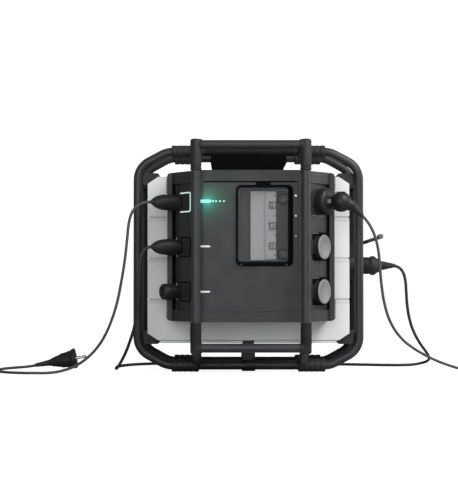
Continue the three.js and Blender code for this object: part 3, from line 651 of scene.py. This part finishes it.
def add_guard():
    """The bumper guard: corner connectors, uprights, the handle and the lower bar."""
    for name, side in SIDES:
        for level in range(len(LEVELS)):
            add_guard_connector(name, side, level)
        low, high = GUARD_UPRIGHT
        bm = bmesh.new()
        rod(bm, HOOP_RADIUS, (GUARD_X[name], GUARD_Y, low), (GUARD_X[name], GUARD_Y, high))
        make_piece(f"upright_{name}", bm, "guard_tube", stands_for=(f"guard_upright_{name}",))
    left, right = GUARD_X["left"] + 5.5, GUARD_X["right"] - 5.5
    for name, node, radius, z in (("handle", "handle_tube", 7.5, HOOP_Z[1]),
                                  ("lower_bar", "lower_guard_bar", 7.8, LOWER_BAR_Z)):
        bm = bmesh.new()
        rod(bm, radius, (left, GUARD_Y, z), (right, GUARD_Y, z))
        make_piece(name, bm, "cage_tube", stands_for=(node,))


# ---- Body and saddle ----


def add_rail_tips():
    """The square inner edge of the four corner rails."""
    for level, z_range in zip(LEVELS, ((49.5, 56.1), (350.4, 357.0))):
        for name, side in SIDES:
            bm = bmesh.new()
            box(bm, sorted((side * 162.4, side * 167.5)), (0.3, 136.7), z_range)
            make_piece(f"rail_tip_{level}_{name}", bm, "moulded_black", bevel=0.5)


def add_base_plate():
    """The plate under the lowest tier, notched for the two stems of the clamp."""
    z_range = (51.4, 56.0)
    bm = bmesh.new()
    for x_range in ((-158, -10.4), (10.4, 158)):
        box(bm, x_range, BODY_Y, z_range)
    box(bm, (-10, 10), (8.6, 127.4), z_range)
    make_piece("base_plate", bm, "shell_grey", bevel=0.8)


def add_saddle_ribs():
    """Low grip ribs across the top of the saddle, between the hoops."""
    bm = bmesh.new()
    for k in range(9):
        y = 20.5 + 12 * k
        box(bm, (-58, 58), (y - 1.8, y + 1.8), (SADDLE_TOP - 0.4, SADDLE_TOP + 1.4))
    make_piece("saddle_ribs", bm, "moulded_black", bevel=0.6)


# ---- Screws, marks and other small parts ----


def add_screw(bm, point, outward, radius, head=1.6):
    """A cap screw with a hollow drive."""
    lathe(bm, [(0, 0), (0, radius), (head - 0.4, radius), (head, radius - 0.4), (head, radius * 0.5),
               (head * 0.35, radius * 0.45), (head * 0.35, 0)], point, outward, 24)


def add_screws():
    """Screws in the rails on both sides, and round the rear cover."""
    bm = bmesh.new()
    for _, side in SIDES:
        for z in (347, 59.5):
            for y in (34, 103):
                add_screw(bm, (side * RAIL_OUTSIDE, y, z), (side, 0, 0), 3.4)
    make_piece("rail_screws", bm, "pin_steel")
    bm = bmesh.new()
    for x in (-152, -50, 50, 152):
        for z in (74, 332):
            add_screw(bm, (x, REAR_COVER_Y, z), (0, 1, 0), 2.6, 1.4)
    make_piece("rear_screws", bm, "pin_steel")


def add_flange_ribs():
    """Jagged rubbing strips on the flange's four corners."""
    pitch = 4.2
    bm = bmesh.new()
    for x, side in ((-143.7, -1), (151, 1)):
        inner, outer = x - side * 0.5, x + side * 2.0
        for low, high in ((97, 131), (318, 349)):
            count = round((high - low) / pitch)
            for k in range(count):
                z = low + (high - low) * k / count
                outline = [(inner, z), (outer, z + 0.7), (outer, z + 2.4), (inner, z + 3.2)]
                prism(bm, outline, (FLANGE_Y, FLANGE_Y + 12.4))
    make_piece("flange_ribs", bm, "housing_dark", bevel=0.3)


def add_flange_rims():
    """Raised rims along the flange's upright edges, and the dark joints inside them and over the panel."""
    bm = bmesh.new()
    joint = bmesh.new()
    for rim, gap in (((-143.4, -134.8), (-134.6, -128.8)), ((141.6, 150.7), (137.2, 141.4))):
        box(bm, rim, (FLANGE_Y - 3.2, FLANGE_Y - 0.4), (94.5, 351.8))
        box(joint, gap, (FLANGE_Y - 1.3, FLANGE_Y - 0.6), (98, 348))
    make_piece("flange_rims", bm, "housing_dark", bevel=0.7)
    box(joint, (-79.5, 83), (PANEL_Y, PANEL_Y + 5), (332.4, 334.6))
    make_piece("flange_joints", joint, "deep_black")


def bar_outline(x_range, z, height):
    """Outline of a bar with half-round ends."""
    return rounded(x_range, (z - height / 2, z + height / 2), height / 2 - 0.01, 5)


def add_panel_marks():
    """Charge bar and its dots, white ticks beside the lower ports, and three indicator lights."""
    depth = (PANEL_Y - 0.5, PANEL_Y + 0.2)
    bm = bmesh.new()
    prism(bm, bar_outline((-84.6, -65), PORT_Z[0], 5.2), depth)
    make_piece("charge_bar", bm, "light_teal")
    bm = bmesh.new()
    for x, radius in ((-62.2, 1.7), (-57.0, 1.6), (-50.4, 1.6), (-43.6, 1.5)):
        lathe(bm, [(0, 0), (0, radius - 0.3), (0.3, radius), (0.7, radius), (0.7, 0)],
              (x, PANEL_Y - 0.5, PORT_Z[0]), (0, 1, 0), 20)
    make_piece("charge_dots", bm, "light_teal")
    bm = bmesh.new()
    for z in PORT_Z[1:]:
        prism(bm, bar_outline((-84.3, -67.2), z + 0.2, 3.0), (PANEL_Y - 0.35, PANEL_Y + 0.2))
    make_piece("port_ticks", bm, "mark_white")
    for z, level in ((309.5, "led_bright"), (274.9, "led_mid"), (240, "led_dim")):
        bm = bmesh.new()
        lathe(bm, [(0, 0), (0, 1.0), (0.5, 1.7), (1, 1.9), (1.4, 1.9), (1.4, 0)],
              (79.3, PANEL_Y - 0.9, z), (0, 1, 0), 28)
        make_piece(f"indicator_{round(z)}", bm, level)


def bracket_line(reach, half, radius, steps=6):
    """Centreline of a square bracket round a port, open to the rear, as (y, z) pairs."""
    line = [(0, half)]
    for sign, first in ((1, 1), (-1, 0)):
        for k in range(steps + 1):
            angle = math.pi / 2 * (first - k / steps)
            line.append((reach - radius + radius * math.cos(angle),
                         sign * (half - radius) + radius * math.sin(angle)))
    return line + [(0, -half)]


def add_brackets():
    """Light guides round the inlets; only the first is lit."""
    outer = bracket_line(37.5, 17.5, 4.6)
    inner = bracket_line(35.0, 15.3, 2.6)
    half = len(outer)
    last = 2 * half - 1
    for port, z in enumerate(PORT_Z):
        bm = bmesh.new()
        rings = [[bm.verts.new((x, y, dz)) for y, dz in outer + inner[::-1]]
                 for x in (PLATE_FACE, PLATE_FACE + 0.7)]
        skin(bm, *rings)
        for ring in rings:
            for k in range(half - 1):
                bm.faces.new((ring[k], ring[k + 1], ring[last - k - 1], ring[last - k]))
        make_piece(f"port_bracket_{port + 1}", bm, "light_white" if port == 0 else "deep_black",
                   matrix=face_matrix(LEFT_FACE, z))


def add_inlet_ticks():
    """Small white marks beside the two lower inlets."""
    bm = bmesh.new()
    for z, offsets in ((PORT_Z[1], (14.4, -14.4)), (PORT_Z[2], (12.2, 0, -12.8))):
        for offset in offsets:
            box(bm, (PLATE_FACE, PLATE_FACE + 0.5), (-14.8, -13.2), (z + offset - 2.4, z + offset + 2.4))
    make_piece("inlet_ticks", bm, "mark_white", matrix=face_matrix(LEFT_FACE, 0))


# ---- Window and breakers ----


def add_window():
    """The hinged frame with its barrel, and the clear sheet in it."""
    hinge_y, hinge_z = WINDOW_HINGE
    bm = bmesh.new()
    prism(bm, rounded(*WINDOW_OUTER, 8, 10), WINDOW_Y, rounded(*WINDOW_INNER, 5.5, 10))
    rod(bm, 2.4, (-11.9, hinge_y, hinge_z), (60.9, hinge_y, hinge_z), 0.2)
    make_piece("window_frame", bm, "deep_black", "window", stands_for=("window_bezel",), bevel=0.5)
    bm = bmesh.new()
    (x0, x1), (z0, z1) = WINDOW_INNER
    prism(bm, rounded((x0 + 0.3, x1 - 0.3), (z0 + 0.3, z1 - 0.3), 5.2, 10), (-132.2, -129.7))
    make_piece("window_sheet", bm, "window_clear", "window", stands_for=("window_pane",), bevel=0.4)


def add_button_collars():
    """Dark collars the two round buttons sit in."""
    bm = bmesh.new()
    for z in BUTTON_Z:
        lathe(bm, [(0, 7.6), (0, 9.6), (1.2, 9.3), (1.2, 7.7)], (BUTTON_X, -119.6, z), (0, -1, 0), 48)
    make_piece("button_collars", bm, "deep_black")


def add_window_shadow_ring():
    """A flat dark ring that the window closes on, painted shadow round the raised frame, and a dark block in
    the recess above it that a finger opens it by, painted shade in the recess.
    """
    # Painted shadow round the window frame.
    bm = bmesh.new()
    prism(bm, rounded((-23.2, 75), (188.6, 327.9), 9, 10), (-128.55, -128.1),
          rounded((-19, 66), (194.6, 321.4), 4, 10))
    make_piece("window_shadow_ring", bm, "deep_black")
    # Painted shade in the finger recess above the window.
    bm = bmesh.new()
    box(bm, (11.2, 36.4), (-128.7, -127.2), (328, 333.2))
    make_piece("window_recess_shade", bm, "deep_black")


def add_breaker_details():
    """Pale gaps between the breaker modules and their terminal covers, and small marks on them."""
    low, high = STRIP_Z
    depth = (STRIP_FACE - 0.3, STRIP_FACE)
    bm = bmesh.new()
    for k in range(1, STRIP_MODULES):
        z = low + (high - low) * k / STRIP_MODULES
        box(bm, (27.2, 45.8), depth, (z - 0.3, z + 0.3))
        box(bm, (2.4, 26.8), (-119.15, -118.9), (z - 0.2, z + 0.2))
    box(bm, (31.0, 31.4), depth, (202, 316))
    make_piece("breaker_gaps", bm, "mark_faint")
    depth = (STRIP_FACE - 0.35, STRIP_FACE)
    bm = bmesh.new()
    for k in range(STRIP_MODULES):
        z = 207.8 + 16.9 * k
        box(bm, (28.0, 30.2), depth, (z - 0.6, z + 0.6))
        box(bm, (42.6, 44.6), depth, (z - 2.0, z + 2.0))
    make_piece("breaker_marks", bm, "mark_dim")


# ---- Outlets ----


def add_socket_lids():
    """Round lids: a dark skirt, a grey disc round it, and a dark hinge and latch."""
    for port in (1, 2):
        body = f"lid_{port + 1}"
        matrix = face_matrix(RIGHT_FACE, PORT_Z[port])
        bm = bmesh.new()
        lathe(bm, [(7.3, 0), (7.3, 21.8), (11.2, 21.8), (11.8, 21.2), (11.8, 0)], axis=(1, 0, 0), sides=64)
        make_piece(f"lid_skirt_{port + 1}", bm, "rubber_black", body, matrix, (f"socket_lid_{port + 1}",))
        bm = bmesh.new()
        lathe(bm, [(11.85, 0), (11.85, 21.5), (12.6, 21.5), (13.3, 20.8), (13.5, 19.6), (13.5, 16.6),
                   (13.2, 16.1), (13.2, 0)], axis=(1, 0, 0), sides=64)
        make_piece(f"lid_disc_{port + 1}", bm, "lid_grey", body, matrix)
        bm = bmesh.new()
        for z_range in ((15.5, 25.2), (-24.2, -15.5)):
            box(bm, (7.4, 12.2), (-11, 9), z_range)
        make_piece(f"lid_hinge_{port + 1}", bm, "deep_black", body, matrix, bevel=1.2)


def add_side_lid_knob():
    """The grey thumb roll on the raised lid's free edge, and the soft pad under the lid."""
    bm = bmesh.new()
    rod(bm, 4.6, (243.6, 44, 244.6), (243.6, 76, 244.6), 1.2)
    make_piece("side_lid_roll", bm, "lid_side", "side_cover")
    bm = bmesh.new()
    prism(bm, [(207, 228.9), (239.5, 239.6), (237.8, 244.8), (205.3, 234.1)], (43, 77))
    make_piece("side_lid_pad", bm, "rubber_black", "side_cover", bevel=1.0)


def add_outlet_trim():
    """The pale edges of the outlet plates, and the dark corners that show beside the round lids."""
    edge = (PLATE_FACE, PLATE_FACE + 1)
    bm = bmesh.new()
    box(bm, edge, (-24, 12), (-24.2, -23.0))
    make_piece("outlet_trim", bm, "lid_grey", matrix=face_matrix(RIGHT_FACE, PORT_Z[0]))
    for port in (1, 2):
        matrix = face_matrix(RIGHT_FACE, PORT_Z[port])
        bm = bmesh.new()
        box(bm, edge, (-24, 6), (23.0, 24.0))
        make_piece(f"outlet_edge_{port + 1}", bm, "lid_side", matrix=matrix)
        bm = bmesh.new()
        for z_range in ((12.5, 22.2), (-23.4, -11.5)):
            box(bm, (PLATE_FACE, PLATE_FACE + 0.8), (-24.5, 5), z_range)
        make_piece(f"outlet_corners_{port + 1}", bm, "deep_black", matrix=matrix, bevel=0.3)


def add_socket_contacts():
    """Earth clips at the top and bottom of each outlet well."""
    bm = bmesh.new()
    for z in PORT_Z[1:]:
        for _, side in SIDES:
            box(bm, (-12, 2), (-2.2, 2.2), sorted((z + side * 17.4, z + side * 18.9)))
    make_piece("outlet_contacts", bm, "pin_steel", matrix=face_matrix(RIGHT_FACE, 0))


# ---- Connectors and plugs ----


def connector_profile():
    """Nose in the inlet, then a lemon-shaped grip with a short neck for the cord."""
    return [(1.5, 0), (1.5, 5.6), (-12, 5.6), (-12, 12), (4.3, 12), (4.3, 12.3), (6, 12.9), (9.4, 13.4),
            (10, 13.0), (10.9, 13.0), (11.5, 13.6), (16, 13.9), (22, 14.1), (27, 14.1), (32, 13.8),
            (37, 13.4), (41, 12.8), (45, 11.8), (48, 10.7), (51, 9.3), (53.6, 7.8), (55.6, 6.4), (57, 5.2),
            (57.6, 4.0), (60.5, 3.2), (60.5, 0)]


def add_grip_bars(bm, count, radius, x_range, thick=1.0):
    """Raised bars round a grip, along the axis."""
    for k in range(count):
        angle = 2 * math.pi * k / count
        before = set(bm.verts)
        box(bm, x_range, (-thick / 2, thick / 2), (radius - 0.6, radius + 0.35))
        turn = Matrix.Rotation(angle, 3, "X")
        for vertex in set(bm.verts) - before:
            vertex.co = turn @ vertex.co


def add_connectors():
    """The cord ends plugged into the two upper inlets."""
    pieces = {}
    for port, name in enumerate(("charge", "link")):
        bm = bmesh.new()
        lathe(bm, connector_profile(), axis=(1, 0, 0), sides=56)
        add_grip_bars(bm, 18, 13.8, (13, 27))
        pieces[name] = make_piece(f"{name}_inlet_plug", bm, "rubber_black",
                                  matrix=face_matrix(LEFT_FACE, PORT_Z[port]),
                                  stands_for=(f"{name}_connector",))
    return pieces


def relief_rings(start, pitch, count, radius, taper, ring):
    """The rings of a strain relief, each slimmer than the last, as pairs for lathe."""
    return [(start + pitch * k + along, radius - taper * k - inward)
            for k in range(count) for along, inward in ring]


def cap_profile():
    """Nose in the unused inlet, a short neck, and a ribbed cap with a thick rim."""
    return [(1.5, 0), (1.5, 5.6), (-12, 5.6), (-12, 12), (4.3, 12), (5.5, 10.6), (11, 10.6), (12.4, 12.3),
            (13.2, 12.6), (23, 12.8), (23.6, 13.5), (24.4, 13.8), (35.4, 13.8), (36.6, 13.3), (38, 12),
            (38, 9), (35, 8), (35, 0)]


def add_port_cap():
    """The cap that closes the unused inlet."""
    bm = bmesh.new()
    lathe(bm, cap_profile(), axis=(1, 0, 0), sides=56)
    add_grip_bars(bm, 24, 13.7, (25, 35))
    matrix = face_matrix(LEFT_FACE, PORT_Z[2])
    make_piece("inlet_cap", bm, "rubber_black", "inlet_cap", matrix, ("port_cap",))


def add_output_plug():
    """Round head in the outlet, neck, ball grip and a relief that leads off down to the right."""
    matrix = face_matrix(RIGHT_FACE, PORT_Z[0])
    bm = bmesh.new()
    lathe(bm, [(-14, 0), (-14, 18.4), (7.2, 18.4), (7.2, 0)], axis=(1, 0, 0), sides=64)
    lathe(bm, [(7.3, 0), (7.3, 22.2), (8.2, 23.2), (18.5, 23.2), (21, 22), (23.2, 19.2), (24.8, 15),
               (25.5, 12.2), (26, 0)], (0, 0, 1.8), (1, 0, 0), 64)
    lathe(bm, [(25, 0), (25, 11.6), (28, 11), (31, 10.6), (32.6, 11.6), (34, 13.2), (36, 14.8),
               (39, 16.4), (43, 17.4), (47, 17.6), (51, 17), (55, 15.2), (58.6, 12.2), (61.5, 8.6),
               (63.4, 4.8), (64, 0)], axis=(1, 0, 0), sides=64)
    add_grip_bars(bm, 3, 17.2, (38.5, 53), 9)
    rod(bm, 12, (48, 0, 0), (67, 8, -8.5), 0.5, end_radius=9.2)
    start = Vector((65.5, 7.4, -7.6))
    relief = Vector((80.2, 15.2, -25.4)) - start
    length = relief.length
    rings = relief_rings(2.4, (length - 3) / 5, 5, 8.9, 1.15, ((0, 0), (2.6, 0.5), (2.9, 1.1), (3.6, 1.2)))
    lathe(bm, [(0, 0), (0, 9.2)] + rings + [(length, 3.1), (length, 0)], start, relief, 36)
    plug = make_piece("outlet_plug", bm, "rubber_black", matrix=matrix, stands_for=("output_plug",))
    # A small pale grey block on the side of the neck.
    bm = bmesh.new()
    box(bm, (25.6, 33), (-13.4, -9.5), (-2.8, 4.4))
    pale_block = make_piece("outlet_plug_pale_block", bm, "lid_grey", matrix=matrix, bevel=0.6)
    return [plug, pale_block]


def add_side_plug():
    """The plug in the side outlet: a waisted grip and a grooved strain relief."""
    bm = bmesh.new()
    grip = [(186, 0), (186, 18.5), (199, 18.5), (201.5, 15.5), (206, 15.2), (223, 15.2), (225, 16.6),
            (226, 17.6), (231.6, 17.6), (233, 16.9), (236, 14.4), (240, 12.0), (243, 10.8), (245, 8.8),
            (246.4, 7.6)]
    rings = relief_rings(247.2, 4.1, 5, 8.4, 0.9, ((0, 0), (2.6, 0.4), (3.0, 1.0), (3.7, 1.1)))
    lathe(bm, grip + rings + [(271.5, 3.3), (271.5, 0)], axis=(1, 0, 0), sides=56)
    add_grip_bars(bm, 20, 15.3, (204.5, 221.5), 1.6)
    return make_piece("side_outlet_plug", bm, "moulded_black", matrix=Matrix.Translation((0, 60, 191)),
                      stands_for=("side_plug",))


LYING_LENGTH = 78
LYING_SLOPE = math.radians(10.1)
LYING_FRONT_Z = 19.5


def lying_matrix(tail, heading):
    """Puts a plug on the floor: its tail at a point of the plan, its wide front raised."""
    reach = LYING_LENGTH * math.cos(LYING_SLOPE)
    place = (tail[0] + reach * math.cos(heading), tail[1] + reach * math.sin(heading), LYING_FRONT_Z)
    return (Matrix.Translation(place) @ Matrix.Rotation(heading + math.pi, 4, "Z")
            @ Matrix.Rotation(LYING_SLOPE, 4, "Y"))


def add_lying(name, node, tail, heading, pins):
    """A plug, or a coupler without pins, that lies on the floor."""
    matrix = lying_matrix(tail, heading)
    bm = bmesh.new()
    front = [(0, 0), (0, 17.6), (0.9, 18.5), (5.4, 18.5), (6.4, 17.6)]
    if not pins:
        front = [(6, 0), (6, 13.5), (0, 13.9), (0, 17.8), (0.8, 18.5), (5.4, 18.5), (6.4, 17.6)]
    body = [(9, 16), (14, 15.2), (21, 13.6), (28, 12.5), (36, 10.3), (44, 8), (50, 5.9)]
    rings = relief_rings(51, 4.3, 6, 5.8, 0.4, ((0, 0), (2.4, 0.15), (3.0, 0.75), (3.7, 0.75)))
    end = [(LYING_LENGTH, 3.3), (LYING_LENGTH, 0)]
    lathe(bm, front + body + rings + end, axis=(1, 0, 0), sides=52)
    add_grip_bars(bm, 16, 13.3, (15, 27), 1.4)
    plug = make_piece(name, bm, "rubber_black", matrix=matrix, stands_for=(node,))
    bm = bmesh.new()
    for y in (-9.5, 9.5):
        if pins:
            rod(bm, 2.4, (1, y, 0), (-18, y, 0), 0.9, sides=24)
        else:
            lathe(bm, [(5.5, 2.2), (5.5, 3.2), (6.4, 3.2), (6.4, 2.2)], (0, y, 0), (1, 0, 0), 24)
    contacts = make_piece(f"{name}_contacts", bm, "pin_steel", matrix=matrix)
    return [plug, contacts]


# ---- Cords ----

CHARGE_ROUTE = [
    (-170.8, -103.5, 300), (-176, -106.6, 299.6), (-185, -110.5, 297), (-192.5, -113, 293),
    (-198, -114.5, 287.5), (-203, -115.3, 279), (-207.5, -115, 262), (-210, -114, 240),
    (-214.3, -111, 202), (-221, -107, 161), (-229, -102, 124), (-238, -97.5, 96), (-250, -92, 69),
    (-263, -86, 49), (-280, -78, 31), (-303, -70, 15), (-325, -68, 6.5), (-345, -70, 2.9),
    (-377, -76, 2.6), (-410, -68, 2.6), (-435, -46, 2.6), (-449, -14, 2.6), (-451, 22, 2.6),
    (-441, 56, 2.6), (-424, 79, 2.8), (-406, 88.5, 4), (-396.3, 90, 5.4),
]
LINK_ROUTE = [
    (-171.1, -103.7, 221.8), (-176, -106.5, 220.5), (-182.5, -109.6, 215), (-187, -110.8, 205),
    (-189.5, -110, 182), (-191, -106, 150), (-194, -99, 113), (-200, -86, 82), (-208, -68, 59),
    (-217, -46, 38), (-227, -18, 20), (-235.5, 12, 8), (-240.5, 40, 3.2), (-243, 70, 2.9),
    (-242, 104, 2.9), (-233, 137, 2.9), (-214, 168, 2.9), (-184, 190, 2.9), (-140, 198, 2.9),
    (-70, 197, 2.9), (0, 191, 2.9), (70, 184, 2.9), (130, 177, 2.9), (186, 170, 2.9), (232, 157, 2.9),
    (272, 148, 2.9), (300, 152, 2.9), (319, 165, 3.2), (335, 169, 6), (343.5, 155, 11),
    (342.5, 132, 19), (333.5, 110, 31), (320, 91, 47.5), (307, 77.5, 69), (298.5, 69, 92),
    (293.5, 64, 118), (291.3, 61.3, 145), (289.5, 60.2, 165), (285, 60, 179.5), (277.5, 60, 187.8),
    (269.8, 60, 190.5),
]
OUTPUT_ROUTE = [
    (174.7, -106.5, 288), (186, -109.1, 280.6), (197.4, -111.6, 273.2), (201, -112.8, 268.8),
    (207, -114.6, 260), (213.5, -116, 247), (219.5, -116.5, 228), (223.5, -116, 203), (225.5, -115, 178),
    (228, -113, 153), (234, -109.5, 120), (245, -104, 90), (263, -97.5, 64.5), (283, -91, 48),
    (303, -84, 36), (323, -76.5, 26), (343, -69, 18), (364, -61.5, 11), (386, -55.5, 5.2),
    (406, -52.6, 2.9),
]
COIL_CENTRE = (428, -12.5)
COIL_TURNS = (40, 20)
COIL_RISE = 0.25
COIL_STEPS = 16
CORD = 5
CORD_LYING_Z = 2.6
LINK_CORD = 5.5


def coil_route():
    """Inward on the floor, up at the inner turn, and outward again on top of the first layer."""
    outer, inner = COIL_TURNS
    laid = (outer - inner) / CORD
    route = []
    for k in range(1, round((2 * laid + COIL_RISE) * COIL_STEPS) + 1):
        turn = k / COIL_STEPS
        share = min(max((turn - laid) / COIL_RISE, 0), 1)
        radius = max(outer - CORD * turn, inner, inner + CORD * (turn - laid - COIL_RISE))
        z = CORD_LYING_Z + CORD * share * share * (3 - 2 * share)
        angle = -math.pi / 2 + 2 * math.pi * turn
        across, along = radius * math.cos(angle), radius * math.sin(angle)
        route.append((COIL_CENTRE[0] + across, COIL_CENTRE[1] + along, z))
    return route


def add_cord(name, material, route, thickness, stands_for):
    """A round cord along a route, as one smooth curve."""
    curve = bpy.data.curves.new(name, "CURVE")
    curve.dimensions = "3D"
    spline = curve.splines.new("BEZIER")
    spline.bezier_points.add(len(route) - 1)
    for knot, point in zip(spline.bezier_points, route):
        knot.co = at(*point)
        knot.handle_left_type = knot.handle_right_type = "AUTO"
    curve.resolution_u = 6
    curve.bevel_depth = thickness / 2000
    curve.bevel_resolution = 4
    curve.use_fill_caps = True
    curve.materials.append(MATERIALS[material])
    obj = add_object(name, curve)
    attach(obj, "station")
    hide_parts(*stands_for)
    return obj


def add_cords():
    """The three cords, with what is on their ends."""
    coil_side = COIL_CENTRE[0] + COIL_TURNS[0]
    connectors = add_connectors()
    output_plug = add_output_plug()
    side_plug = add_side_plug()
    mains = add_lying("mains_plug_body", "mains_plug", (-396, 90), 0, pins=True)
    coupler = add_lying("output_coupler_body", "output_coupler", (coil_side, 15), math.pi / 2, pins=False)
    charge = add_cord("charge_lead", "cord_grey", CHARGE_ROUTE, CORD, ("charge_cord",))
    link = add_cord("link_lead", "cord_dark", LINK_ROUTE, LINK_CORD, ("link_cord",))
    route = OUTPUT_ROUTE + coil_route()[1:] + [(coil_side, 2, 7.2), (coil_side, 14.7, 5.9)]
    output = add_cord("output_lead", "cord_grey", route, CORD, ("output_cord", "output_coil"))


# ---- Stage ----

FLOOR_REACH = 30
FLOOR_Z = -0.0004
ROOM_LIGHT = 0.30
ROOM_SEEN = 1.1
# Place, target, width and power of each soft light, in metres and watts.
LIGHTS = {
    "key": ((1.6, -1.5, 2.2), (0, 0, 0.2), 1.4, 88),
    "side": ((2.3, 0.3, 0.7), (0.1, 0, 0.2), 1.3, 16),
    "fill": ((-0.5, -3.3, 0.8), (0, 0, 0.15), 2.2, 46),
}


def floor_shader():
    """Pale and matt, and lit a little for the camera's own rays."""
    shader = Shader("floor")
    mottled = shader.mix(shader.noise(3, 2), (0.36, 0.36, 0.36, 1), (0.4, 0.4, 0.4, 1))
    shader.wire("Base Color", mottled)
    shader.wire("Roughness", 0.9)
    shader.wire("Emission Color", (1, 1, 1, 1))
    seen = shader.node("ShaderNodeLightPath").outputs["Is Camera Ray"]
    shader.wire("Emission Strength", shader.times(seen, 0.9))
    return shader


def add_floor():
    bm = bmesh.new()
    corners = ((-1, -1), (1, -1), (1, 1), (-1, 1))
    bm.faces.new([bm.verts.new((FLOOR_REACH * x, FLOOR_REACH * y, FLOOR_Z)) for x, y in corners])
    mesh = bpy.data.meshes.new("floor")
    bm.to_mesh(mesh)
    bm.free()
    mesh.materials.append(floor_shader().material)
    add_object("floor", mesh)


def add_area(name, place, target, size, power):
    """A round soft light, out of the camera's own sight."""
    data = bpy.data.lights.new(name, "AREA")
    data.shape = "DISK"
    data.size = size
    data.energy = power
    light = add_object(name, data)
    light.location = place
    light.rotation_euler = (Vector(target) - Vector(place)).to_track_quat("-Z", "Y").to_euler()
    light.visible_camera = False


def add_world():
    """An even white room: bright to look at, softer as a light."""
    world = bpy.data.worlds.new("studio")
    bpy.context.scene.world = world
    world.use_nodes = True
    tree = world.node_tree
    lamp = tree.nodes["Background"]
    seen = tree.nodes.new("ShaderNodeBackground")
    for room, strength in ((lamp, ROOM_LIGHT), (seen, ROOM_SEEN)):
        room.inputs["Color"].default_value = (1, 1, 1, 1)
        room.inputs["Strength"].default_value = strength
    ray = tree.nodes.new("ShaderNodeLightPath")
    mix = tree.nodes.new("ShaderNodeMixShader")
    tree.links.new(ray.outputs["Is Camera Ray"], mix.inputs[0])
    tree.links.new(lamp.outputs[0], mix.inputs[1])
    tree.links.new(seen.outputs[0], mix.inputs[2])
    tree.links.new(mix.outputs[0], tree.nodes["World Output"].inputs["Surface"])


def add_stage():
    bpy.context.scene.view_settings.view_transform = "Standard"
    add_floor()
    add_world()
    for name, light in LIGHTS.items():
        add_area(name, *light)


# ---- Assembly ----

REFINED = (
    ("corner_rail_top_left", 0.8), ("corner_rail_top_right", 0.8), ("corner_rail_bottom_left", 0.8),
    ("corner_rail_bottom_right", 0.8), ("top_saddle", 1.0), ("bottom_clamp", 0.5),
    ("body_tier_1", 0.8), ("body_tier_2", 0.8), ("body_tier_3", 0.8), ("body_tier_4", 0.8),
    ("rear_cover", 0.6), ("battery_pack", 1.0), ("inverter_board", 0.3), ("fan_frame", 0.4),
    ("fan_rotor", 0.2), ("module_housing", 0.9), ("faceplate", 0.5), ("window_hinge_pin", 0.1),
    ("breaker_bank", 0.4), ("breaker_toggle_1", 0.4), ("breaker_toggle_2", 0.4), ("breaker_toggle_3", 0.4),
    ("power_button", 0.3), ("reset_button", 0.3), ("inlet_plate", 0.4), ("socket_plate", 0.4),
    ("side_socket", 0.5), ("side_lid", 0.8),
)
MATERIAL_OF = {
    "top_saddle": "deep_black", "side_lid": "rubber_black", "window_hinge_pin": "moulded_black",
    "rear_cover": "cover_grey", "side_socket": "rubber_black", "bottom_clamp": "rubber_black",
    "power_button": "button_grey", "reset_button": "button_grey",
}


def build():
    for node, bevel in REFINED:
        refine(node, bevel)
    add_hoops()
    add_rear_sleeves()
    add_guard()
    add_screws()
    add_flange_ribs()
    add_flange_rims()
    add_panel_marks()
    add_brackets()
    add_inlet_ticks()
    add_window()
    add_window_shadow_ring()
    add_button_collars()
    add_saddle_ribs()
    add_base_plate()
    add_rail_tips()
    add_breaker_details()
    add_socket_lids()
    add_socket_contacts()
    add_port_cap()
    add_side_lid_knob()
    add_outlet_trim()
    add_cords()
    add_stage()


build()
